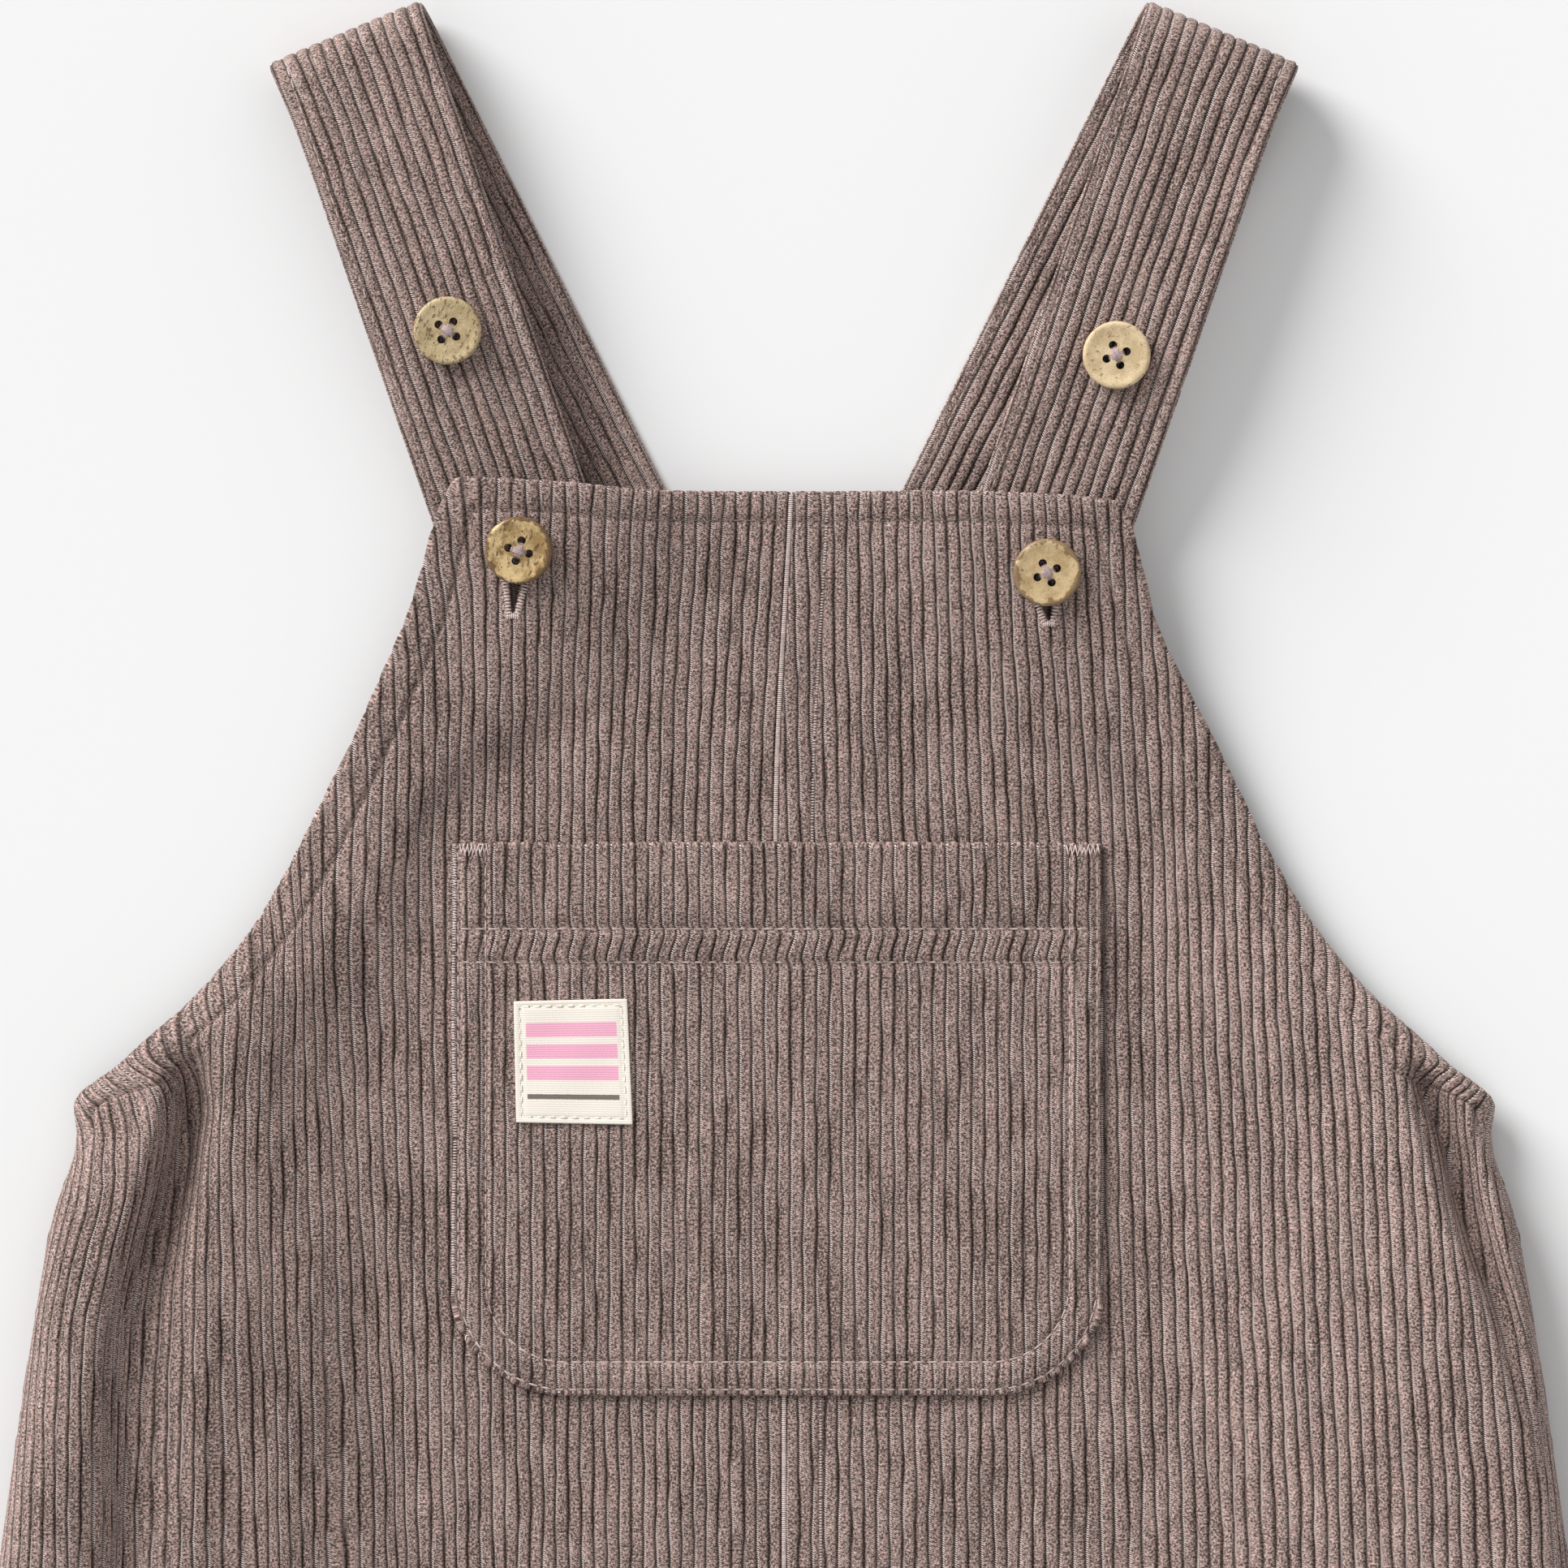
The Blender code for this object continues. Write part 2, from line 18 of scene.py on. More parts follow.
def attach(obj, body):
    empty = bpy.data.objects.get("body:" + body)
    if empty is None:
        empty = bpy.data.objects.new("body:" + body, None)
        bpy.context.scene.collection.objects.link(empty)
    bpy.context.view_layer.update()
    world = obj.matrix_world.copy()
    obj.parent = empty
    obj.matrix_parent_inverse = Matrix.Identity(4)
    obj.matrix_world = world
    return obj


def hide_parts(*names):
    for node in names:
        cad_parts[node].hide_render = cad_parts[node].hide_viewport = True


bl_info = {
    "name": "Corduroy pinafore dress",
    "version": (1, 0, 0),
    "blender": (4, 5, 0),
    "location": "View3D > Sidebar > Pinafore",
    "description": "Sews a corduroy pinafore dress laid flat, and lights it",
    "category": "Object",
}

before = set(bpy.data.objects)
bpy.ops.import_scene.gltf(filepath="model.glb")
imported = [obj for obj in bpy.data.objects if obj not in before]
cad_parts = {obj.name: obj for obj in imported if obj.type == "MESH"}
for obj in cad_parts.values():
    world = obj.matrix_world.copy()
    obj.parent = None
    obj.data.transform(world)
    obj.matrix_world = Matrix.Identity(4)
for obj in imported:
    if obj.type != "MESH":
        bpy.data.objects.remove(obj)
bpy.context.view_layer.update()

MM = 0.001
UP = np.array([0.0, 0.0, 1.0])

# ---- The dress as cut and laid ----

HEM_Y = -280.4 * MM
UNDERARM_Y = 18.8 * MM
POCKET_CLEAR_Y = 86.0 * MM
BIB_TOP_Y = 164.4 * MM
BACK_TOP_Y = 107.5 * MM
SEAM_GAP = 0.3 * MM
SIDE_SEAM_GAP = 1.3 * MM
WALL = 1.8 * MM
BACK_CURL = 30 * MM

# Half the front's width (mm) at each height (mm)
FRONT_OUTLINE = (
    (-280.4, 210.6), (-84.8, 185.6), (-27.1, 177.1), (-7.9, 173.7), (12.3, 168.0),
    (18.8, 168.8), (30.6, 156.4), (49.8, 135.8), (69.0, 121.3), (97.9, 106.3),
    (117.1, 97.0), (136.3, 88.4), (157.0, 83.0), (164.4, 79.5),
)
BACK_ARMHOLE = (
    (18.8, 168.8), (26.0, 140.0), (40.0, 105.0), (62.0, 75.0), (85.0, 54.0),
    (107.5, 42.5),
)
# How far the bib's top edge rises (mm) at each place across (mm)
BIB_TOP_EDGE = (
    (-80.0, 3.6), (-55.0, 2.3), (-27.0, 0.2), (30.0, 0.2), (65.0, -0.9), (80.0, -2.6),
)
# How the front lies (mm): y, height at the middle, half width of the flat middle,
# height of the crown, width of the roll to the edge, height of the edge
FRONT_LIE = (
    (-280.4, 3.8, 100, 18.0, 14, 8.0),
    (-100, 3.8, 85, 20.5, 12, 8.5),
    (-27, 3.8, 85, 20.0, 12, 8.5),
    (0.0, 3.8, 85, 18.0, 13, 6.0),
    (18.8, 3.8, 85, 15.0, 16, 4.4),
    (50, 3.9, 85, 10.5, 18, 5.6),
    (86.0, 5.0, 80, 8.6, 18, 7.2),
    (115, 6.4, 36, 10.2, 26, 9.6),
    (135, 7.5, 16, 12.4, 26, 12.0),
    (150, 8.6, 8, 14.6, 24, 14.4),
    (168, 9.6, 8, 17.4, 22, 17.2),
)
# Large folds of the skirt (mm): y, x to the right, height, reach to each side
FOLDS = {
    1: (
        ((36, -141.5, 0, 9), (22, -140.5, -5.5, 10), (0, -145, -7.5, 12),
         (-30, -150, -6.5, 14), (-90, -153, -5, 17), (-280.4, -160, -2.5, 22)),
        ((10, -113, 0, 16), (-30, -114.5, 2, 20), (-280.4, -117, 2.5, 24)),
        ((34, 150.5, 0, 8), (20, 153, -4, 9), (0, 159.5, -5, 10), (-25, 167, -3, 9),
         (-50, 171, 0, 9)),
        ((10, 114, 0, 16), (-30, 115, 2, 20), (-280.4, 118, 2.5, 24)),
    ),
}
FOLDS_FADE_FROM = 0.2

# The centre seam's place across (mm) at each height (mm): it slants on the bib
SEAM_LINE = ((-280.4, 0.0), (-52, 0.0), (0, -1.0), (82, -2.0), (164.4, 1.8))
SEAM_SHIFT_FADES = (20 * MM, 90 * MM)
# How much cloth (mm) the slanting seam takes off the right half
SEAM_CUT = ((-280.4, 0.0), (60, 0.0), (164.4, 6.0))
# How far (mm) the cords turn outwards within the armhole's turned edge
BAND_BEND = {
    -1: ((6, 0.0), (18.8, 4.7), (25, 4.5), (40, 3.2), (50, 2.2), (70, 1.5), (100, 1.1),
         (164.4, 0.7)),
    1: ((6, 0.0), (18.8, 4.2), (25, 4.0), (40, 2.4), (55, 0.8), (75, 0.0), (164.4, 0.0)),
}
BAND_WIDTH = 9.0 * MM
TOP_BAND_WIDTH = 7.4 * MM
HEM_LINES = (19 * MM, 21.5 * MM)
SEAM_TOPSTITCH = 8.2 * MM
# Where the rows below the bodice, all level, take over from those that follow its edges
SPLIT_Y = 6.0 * MM

# How far (mm) the cords stray outwards: y, then the amount at each place across
STRAY_PLACES = (0, 60, 90, 100, 105, 111, 117, 128, 140, 155, 165, 190, 240)
STRAY_LEFT = (
    (-280.4, 0, -1, -4, -6, -5.5, -4, -3, -3, 0, 2, -1, -3, -3),
    (-90, 0, -1, -2, -4, -3.5, -1.5, -1.5, -2.7, 0, 1.9, -2, -2.3, -2),
    (3, 0, 0, 0, 0, 0, 0, 0, 0, 0, 0, 0, 0, 0),
    (65, 0, 0, 1, 2.3, 3.2, 2.1, 0, -2.4, -2, 0, 0, 0, 0),
    (118, 0, 0, 0, 0, 0, 0, 0, 0, 0, 0, 0, 0, 0),
    (164.4, 0, 1, 5.6, 5.6, 5.6, 5.6, 5.6, 5.6, 5.6, 5.6, 5.6, 5.6, 5.6),
)
STRAY_RIGHT = (
    (-280.4, 0, 1, 4, 6, 6, 6, 6, 7, 7, 8, 9, 10, 10),
    (-90, 0, 1, 2.9, 3.1, 3.1, 4, 4.2, 4.2, 4.2, 5.4, 6.5, 7, 7),
    (3, 0, 0, 0, 0, 0, 0, 0, 0, 0, 0, 0, 0, 0),
    (65, 0, 0, -1, -2, -2, -2.2, -2.4, -2.6, -3.4, -3, -2, 0, 0),
    (164.4, 0, 0, 0, 0, 0, 0, 0, 0, 0, 0, 0, 0, 0),
)

# Small sharp creases added to the folds (mm), for x to the left (-1) and to the right:
# y, x, height, reach towards the middle, reach towards the side
CREASES = {
    -1: (
        ((32, 140.0, 0, 5, 3), (24, 140.5, -3.4, 5, 3.5), (18, 139.9, -4.2, 6, 4),
         (12, 141.6, -4.4, 6, 4), (-1, 144.7, -4.2, 7, 4.4), (-14, 148.8, -3.4, 8, 5),
         (-37, 153.9, -1.3, 9, 7), (-60, 154.6, -0.9, 9, 8), (-91, 153.5, -0.8, 10, 8),
         (-150, 155, -0.6, 11, 8), (-240, 158, 0, 12, 9)),
        ((28, 147, 0, 5, 5), (20, 146.8, 2.0, 5, 6), (10, 148.5, 2.8, 5, 6),
         (-1, 151.8, 2.8, 5.5, 7), (-14, 156, 1.6, 6.5, 7), (-37, 161.5, 0.6, 7, 7),
         (-60, 162.5, 0.4, 7.5, 8), (-91, 162, 0.4, 8, 9), (-150, 165, 0.3, 9, 10),
         (-240, 170, 0, 9, 10)),
        ((6, 156, 0, 3, 3), (2, 160, -0.8, 3, 3), (-4, 168, 0, 3, 3)),
        ((60, 126, 0, 7, 7), (30, 124, 0.8, 9, 9), (-10, 127, 0.9, 10, 10), (-60, 130, 0, 10, 10)),
    ),
    1: (
        ((32, 150.0, 0, 3, 6), (24, 151.3, -4.0, 3, 8), (18, 153.8, -5.2, 3, 8),
         (7, 157.8, -5.2, 3.1, 7.5), (-2, 159.7, -5.0, 3.2, 7), (-14, 163.6, -4.6, 3.4, 6.5),
         (-26, 168.6, -4.2, 3.8, 6), (-38, 172.6, -3.5, 4.5, 5), (-56, 176.5, 0, 5, 4)),
        ((26, 145.0, 0, 7, 4), (10, 150.5, 1.5, 7, 5), (-12, 157.5, 1.5, 8, 5),
         (-36, 166, 1.2, 8, 5), (-60, 170, 0, 9, 6)),
        ((8, 160, 0, 3, 3), (3, 164, -0.6, 3, 3), (-3, 169, 0, 3, 3)),
    ),
}

# Straps (left; the right one is its mirror image)
STRAP_WIDTH = 37.3 * MM
FOLD_RADIUS = 8.5 * MM
FOLD_TILT = math.radians(22.7)
STRAP_LEAN = math.radians(3.7)
FOLD_CENTRE = (-104.1 * MM, 273.1 * MM)
STRAP_FRONT_LENGTH = 142 * MM
STRAP_LIE = (
    (0, 17), (30, 18), (60, 17.6), (80, 16), (97, 13.6), (118, 10.4), (142, 7.2),
)
STRAP_THICKNESS = 2.4 * MM

# Pocket and label
POCKET_LEFT = -79.0 * MM
POCKET_RIGHT = 76.0 * MM
POCKET_TOP_Y = 81.0 * MM
POCKET_BOTTOM_Y = -50.6 * MM
POCKET_CORNER = 27.0 * MM
POCKET_HEM_LINES = (20.6 * MM, 28.5 * MM)
LABEL_CENTRE = (-50.0 * MM, 28.9 * MM)
LABEL_SIZE = (27.5 * MM, 29.2 * MM)
LABEL_CORNERS = ((-63.9, 43.1), (-37.4, 43.7), (-36.1, 14.2), (-63.3, 14.7))
LABEL_STITCH_IN = 1.25 * MM

# Buttons
BUTTON_RADIUS = 8.0 * MM
BUTTON_THICKNESS = 2.6 * MM
BUTTON_HOLE_RING = 2.5 * MM
BUTTON_SEAT = 0.45 * MM

# Buttonholes (mm), pulled open below the bib's buttons: middle and half width
# at the upper end, then middle and half width at the foot
BUTTONHOLES = {
    -1: ((-63.3, 143.8), 2.7, (-64.1, 134.5), 0.9),
    1: ((61.8, 139.8), 3.0, (62.6, 132.7), 0.9),
}

# ---- The cords of the corduroy ----

# The mesh's columns across one cord: share of the spacing, share of the height
CORD = ((0.0, 0.0), (0.10, 0.64), (0.28, 0.93), (0.5, 1.0), (0.72, 0.93), (0.90, 0.64))
PLAIN_CORD = ((0.0, 0.0), (0.2, 0.85), (0.5, 1.0), (0.8, 0.85))
RIM = 0.5 * MM
RIM_TURNS = np.radians((35, 70, 105, 145, 180))
EDGE_INSET = RIM + 0.7 * MM
# How far the cords' crowns stand above the cloth's laid face
CROWN_LIFT = 0.05 * MM


def ease(start, end, value):
    """0 before start, 1 after end, smooth between."""
    share = np.clip((value - start) / (end - start), 0.0, 1.0)
    return share * share * (3.0 - 2.0 * share)


def peak(value, middle, spread):
    """1 at the middle, falling to 0 on both sides."""
    return np.exp(-(((value - middle) / spread) ** 2))


def unit(vectors):
    return vectors / np.maximum(np.linalg.norm(vectors, axis=-1, keepdims=True), 1e-12)


def stack(*parts):
    """Parts of any matching shapes, side by side along a last axis."""
    return np.stack(np.broadcast_arrays(*parts), -1)


def distances(points):
    """Distance along a line of points, at each of them."""
    return np.append(0, np.linalg.norm(np.diff(points, axis=0), axis=1).cumsum())


def read(at, run, values):
    """Rows of values at these distances along a line."""
    return np.stack([np.interp(at, run, column) for column in values.T], 1)


def through(table, at, column=1):
    """A column of a table in mm, over its first column, as a smooth curve in metres."""
    places, values = (np.array([row[k] for row in sorted(table)], float) * MM
                      for k in (0, column))
    slopes = np.diff(values) / np.diff(places)
    tangents = np.concatenate([slopes[:1], np.zeros(len(slopes) - 1), slopes[-1:]])
    before, after = slopes[:-1], slopes[1:]
    alike = before * after > 0
    tangents[1:-1][alike] = (2 * before * after)[alike] / (before + after)[alike]
    at = np.clip(at, places[0], places[-1])
    k = np.clip(np.searchsorted(places, at) - 1, 0, len(places) - 2)
    width = places[k + 1] - places[k]
    t = (at - places[k]) / width
    return (
        values[k] * (1 + 2 * t) * (1 - t) ** 2
        + width * tangents[k] * t * (1 - t) ** 2
        + values[k + 1] * t * t * (3 - 2 * t)
        + width * tangents[k + 1] * t * t * (t - 1)
    )


def front_half(y):
    return through(FRONT_OUTLINE, y)


def folded(tables, x, y):
    """What these folds add to the front's height; their last column is the outer reach."""
    total = np.zeros(np.broadcast(x, y).shape)
    for side, folds in tables.items():
        for rows in folds:
            away = side * x - through(rows, y)
            reach = np.where(away > 0, through(rows, y, -1), through(rows, y, 3))
            offset = np.minimum(np.abs(away) / reach, 1)
            height = through(rows, y, 2) * np.cos(offset * math.pi / 2) ** 2
            inside = (y <= rows[0][0] * MM) & (y >= rows[-1][0] * MM)
            total = total + np.where(inside, height, 0.0)
    return total


def front_height(x, y):
    """Height of the front's outer face above the surface that the dress lies on."""
    half = front_half(y)
    middle, flat, crown, roll, edge = (through(FRONT_LIE, y, k) for k in range(1, 6))
    shoulder = half - roll
    across = np.abs(x)
    height = middle + (crown - middle) * ease(flat, shoulder, across)
    drop = np.clip((across - shoulder) / roll, 0.0, 1.0)
    height = height - (crown - edge) * (1.0 - np.sqrt(1.0 - drop * drop))
    folds = folded(FOLDS, x, y) + folded(CREASES, x, y)
    return height + folds * (1.0 - ease(FOLDS_FADE_FROM, 1.0, drop))


def back_height(x, y):
    """Height of the back's under face: flat, and curled up to the side seam."""
    level = np.minimum(y, UNDERARM_Y)
    edge = through(FRONT_LIE, level, 5) - SIDE_SEAM_GAP
    share = np.clip((np.abs(x) - (front_half(level) - BACK_CURL)) / BACK_CURL, 0.0, 1.0)
    return edge * (1.0 - np.sqrt(1.0 - share * share))


def back_half(y):
    return np.where(y <= UNDERARM_Y, front_half(y), through(BACK_ARMHOLE, y))


def bib_rise(x, y):
    """How far the bib's uneven top edge moves the cloth up."""
    return through(BIB_TOP_EDGE, x) * ease(POCKET_CLEAR_Y, BIB_TOP_Y, y)


def buttonhole(x, y):
    """1 inside an open buttonhole, 0 on the cloth around it."""
    total = 0.0
    for (top_x, top_y), top_half, (foot_x, foot_y), foot_half in BUTTONHOLES.values():
        share = (y / MM - foot_y) / (top_y - foot_y)
        middle = foot_x + (top_x - foot_x) * share
        half = foot_half + (top_half - foot_half) * share
        inside = ease(half - 0.6, half - 1.2, np.abs(x / MM - middle))
        total = total + inside * ease(0.0, 0.12, share) * ease(1.2, 1.0, share)
    return total


class Lay:
    """How a half panel lies: from a distance along the cloth to a place."""

    LEVELS = 430
    SAMPLES = 700
    PLACES = 900

    def __init__(self, side, half, height, top):
        self.levels = np.linspace(HEM_Y, top, self.LEVELS)
        rows = self.levels[:, None]
        shares = 1.0 - (1.0 - np.linspace(0, 1, self.SAMPLES)) ** 1.8
        x = half(rows) * shares
        z = height(side * x, rows + 0 * x)
        run = np.pad(np.hypot(np.diff(x), np.diff(z)).cumsum(1), ((0, 0), (1, 0)))
        self.lengths = run[:, -1]
        even = np.linspace(0, 1, self.PLACES)
        self.x, self.z = (
            np.array([np.interp(even, r / r[-1], v) for r, v in zip(run, values)])
            for values in (x, z)
        )
        slope = np.pad(np.gradient(self.lengths, self.levels), 3, "edge")
        self.slant = np.sqrt(1 + np.convolve(slope, np.ones(7) / 7, "valid") ** 2)

    def edge(self, y):
        """Cloth distance from the middle to the panel's edge."""
        return np.interp(y, self.levels, self.lengths)

    def steepness(self, y):
        return np.interp(y, self.levels, self.slant)

    def cut_size(self):
        """Width and length of the half, laid out flat."""
        return round(float(self.lengths.max()), 3), round(float(np.ptp(self.levels)), 3)

    def cut_area(self):
        step = self.levels[1] - self.levels[0]
        return round(float((self.lengths[1:] + self.lengths[:-1]).sum() * step / 2), 4)

    def place(self, s, y):
        """x (always positive) and z at cloth distance s."""
        row = (y - self.levels[0]) / (self.levels[1] - self.levels[0])
        row = np.clip(row, 0, len(self.levels) - 1.001)
        column = np.clip(s / self.edge(y), 0, 1) * (self.PLACES - 1.001)
        i, j = row.astype(int), column.astype(int)
        f, g = row - i, column - j
        corners = ((i, j, (1 - f) * (1 - g)), (i, j + 1, (1 - f) * g),
                   (i + 1, j, f * (1 - g)), (i + 1, j + 1, f * g))
        return [sum(grid[a, b] * share for a, b, share in corners) for grid in (self.x, self.z)]


def stray(side, s, y):
    """How far the cords stray outwards there."""
    rows = STRAY_LEFT if side < 0 else STRAY_RIGHT
    places = np.array(STRAY_PLACES, float) * MM
    amounts = np.stack([through(rows, y, k + 1) for k in range(len(places))], -1)
    at = np.minimum(np.interp(s, places, np.arange(len(places))), len(places) - 1.001)
    k = at.astype(int)
    f = at - k
    f = f * f * (3 - 2 * f)
    low, high = (np.take_along_axis(amounts, each[..., None], -1)[..., 0] for each in (k, k + 1))
    return low * (1 - f) + high * f


def wale_columns(count, pitch, cord):
    """Cloth distance, wale number and height share of each column of a strip of cords."""
    phases, heights = zip(*cord)
    number = np.append(np.add.outer(np.arange(count), phases), count)
    return number * pitch, number, np.append(np.tile(heights, count), 0.0)


def wobble(number, y, seed, size):
    """Small sideways wandering of each cord."""
    rng = np.random.default_rng(seed)
    count = int(number.max()) + 2
    total = 0.0
    for length, share in ((9 * MM, 0.5), (21 * MM, 0.9), (47 * MM, 1.0)):
        phase = rng.random(count) * math.tau
        k = number.astype(int)
        f = number - k
        turn = math.tau * y / length
        low, high = np.sin(turn + phase[k]), np.sin(turn + phase[np.minimum(k + 1, count - 1)])
        total = total + share * (low * (1 - f) + high * f)
    return total * size


def unevenness(number, y, seed):
    """Each cord's own height, as a factor."""
    return 1.0 + 0.16 * wobble(number + 0 * y, 0.7 * y, seed, 1.0) / 2.4


def row_steps(*runs):
    """Distances from row to row, from pairs of a count and a distance in mm."""
    counts, sizes = zip(*runs)
    return np.repeat(sizes, counts) * MM


def fill_rows(lengths, spacing):
    """Distances of rows down each column: these steps, cut short where the column is short."""
    low, high = np.zeros(len(lengths)), np.full(len(lengths), spacing.max())
    for _ in range(40):
        middle = (low + high) / 2
        short = np.minimum(spacing, middle[:, None]).sum(1) < lengths
        low, high = np.where(short, middle, low), np.where(short, high, middle)
    steps = np.minimum(spacing, high[:, None])
    steps *= (lengths / steps.sum(1))[:, None]
    return np.concatenate([np.zeros((len(lengths), 1)), steps.cumsum(1)], 1).T


def panel_rows(tops, top_steps, skirt_steps):
    """Heights of the mesh's rows from the tops of a panel's columns to its hem."""
    upper = tops - fill_rows(tops - SPLIT_Y, top_steps)
    lower = fill_rows(np.array([SPLIT_Y - (HEM_Y + EDGE_INSET)]), skirt_steps)[1:]
    return np.concatenate([upper, SPLIT_Y - np.repeat(lower, len(tops), 1)])


def surface_normals(place, s, y, outward):
    """Unit normals of place(s, y), turned to the outer face."""
    step = 0.25 * MM
    across = place(s + step, y) - place(s - step, y)
    along = place(s, y + step) - place(s, y - step)
    return unit(np.cross(across, along) * outward)


# ---- Meshes ----


def shell(name, base, normal, relief, cloth, every, rim=RIM, soften=0.35):
    """A thin closed cloth: a fine outer face with cords, rolled edges and a plain inner face.

    base, normal: (rows, columns, 3). relief: height of the cords above base.
    cloth: (rows, columns, 3), which the material reads. every: columns a cord.
    """
    rows, columns = base.shape[:2]
    index = np.arange(rows * columns).reshape(rows, columns)
    loop = np.concatenate([
        index[-1, :-1], index[:0:-1, -1], index[0, :0:-1], index[:-1, 0],
    ])
    points, normals, border = (each.reshape(-1, 3)[loop] for each in (base, normal, cloth))
    heights = relief.ravel()[loop]
    closed = np.concatenate([points, points[:1]])
    run = distances(closed)
    # The border's direction, evened out over this distance to each side
    window = 0.9 * MM
    before, after = (read(np.mod(run[:-1] + step, run[-1]), run, closed)
                     for step in (-window, window))
    away = unit(np.cross(after - before, normals))
    if ((points - points.mean(0)) * away).sum() < 0:
        away = -away
    sideways = np.abs(away[:, 1]) > 0.5
    vertices = [(base + normal * relief[..., None]).reshape(-1, 3)]
    notes = [cloth.reshape(-1, 3)]
    loops = [loop]
    total = index.size
    for turn in RIM_TURNS:
        fade = 1.0 - soften * turn / math.pi if turn < math.pi else 0.0
        radius = (rim + heights * fade)[:, None]
        ring = points - rim * normals
        vertices.append(ring + radius * (math.sin(turn) * away + math.cos(turn) * normals))
        note = border.copy()
        note[:, 1] += rim * turn * sideways
        notes.append(note)
        loops.append(total + np.arange(len(loop)))
        total += len(loop)
    quads = [quads_of(index[:-1, :-1], index[1:, :-1], index[1:, 1:], index[:-1, 1:])]
    for first, second in zip(loops, loops[1:]):
        quads.append(quads_of(first, second, np.roll(second, -1), np.roll(first, -1)))
    # The inner face uses every so many columns, and the last ring as its border
    keep = np.arange(0, columns, every)
    inner = (base - 2 * rim * normal)[1:-1][:, keep[1:-1]]
    vertices.append(inner.reshape(-1, 3))
    notes.append(cloth[1:-1][:, keep[1:-1]].reshape(-1, 3))
    ring_of = np.full(index.size, -1)
    ring_of[loop] = loops[-1]
    ring_of = ring_of.reshape(rows, columns)
    inside = ring_of[:, keep]
    inside[1:-1, 1:-1] = total + np.arange(inner.size // 3).reshape(inner.shape[:2])
    rest = inside[1:-1]
    quads.append(quads_of(rest[:-1, :-1], rest[:-1, 1:], rest[1:, 1:], rest[1:, :-1]))
    faces = np.concatenate(quads).tolist()
    for k in range(len(keep) - 1):
        edge = slice(keep[k], keep[k + 1] + 1)
        faces.append([*ring_of[0, edge].tolist(), int(inside[1, k + 1]), int(inside[1, k])])
        faces.append([*ring_of[-1, edge].tolist()[::-1],
                      int(inside[-2, k]), int(inside[-2, k + 1])])
    return finish_mesh(name, np.concatenate(vertices), faces, np.concatenate(notes))


def quads_of(*corners):
    return np.stack([corner.ravel() for corner in corners], 1)


def tube_mesh(name, points, cloth):
    """A closed tube through rings of points (rings, sides, 3), with both ends capped."""
    index = np.arange(points.size // 3).reshape(points.shape[:2])
    after = np.roll(index, -1, 1)
    faces = quads_of(index[:-1], index[1:], after[1:], after[:-1]).tolist()
    faces += [index[0].tolist(), index[-1][::-1].tolist()]
    return finish_mesh(name, points.reshape(-1, 3), faces, cloth.reshape(-1, 3))


MERGE_WITHIN = 0.015 * MM


def finish_mesh(name, vertices, faces, notes):
    """A mesh with merged doubles, outward faces and the cloth coordinates."""
    mesh = bpy.data.meshes.new(name)
    mesh.from_pydata(vertices.tolist(), [], faces)
    layer = mesh.attributes.new("cloth", "FLOAT_VECTOR", "POINT")
    layer.data.foreach_set("vector", notes.astype(np.float32).ravel())
    work = bmesh.new()
    work.from_mesh(mesh)
    bmesh.ops.remove_doubles(work, verts=work.verts, dist=MERGE_WITHIN)
    bmesh.ops.recalc_face_normals(work, faces=work.faces)
    work.to_mesh(mesh)
    work.free()
    mesh.shade_smooth()
    return mesh


def lay_piece(name, mesh, material, *nodes, slot="corduroy", place=None):
    """Links a piece, gives it its finish, and rides it on the dress."""
    piece = bpy.data.objects.new(name, mesh)
    bpy.context.scene.collection.objects.link(piece)
    mesh.materials.append(bpy.data.materials[material])
    if place:
        piece.matrix_world = place
    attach(piece, "root")
    if nodes:
        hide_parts(*nodes)
    return piece


# ---- Front halves ----


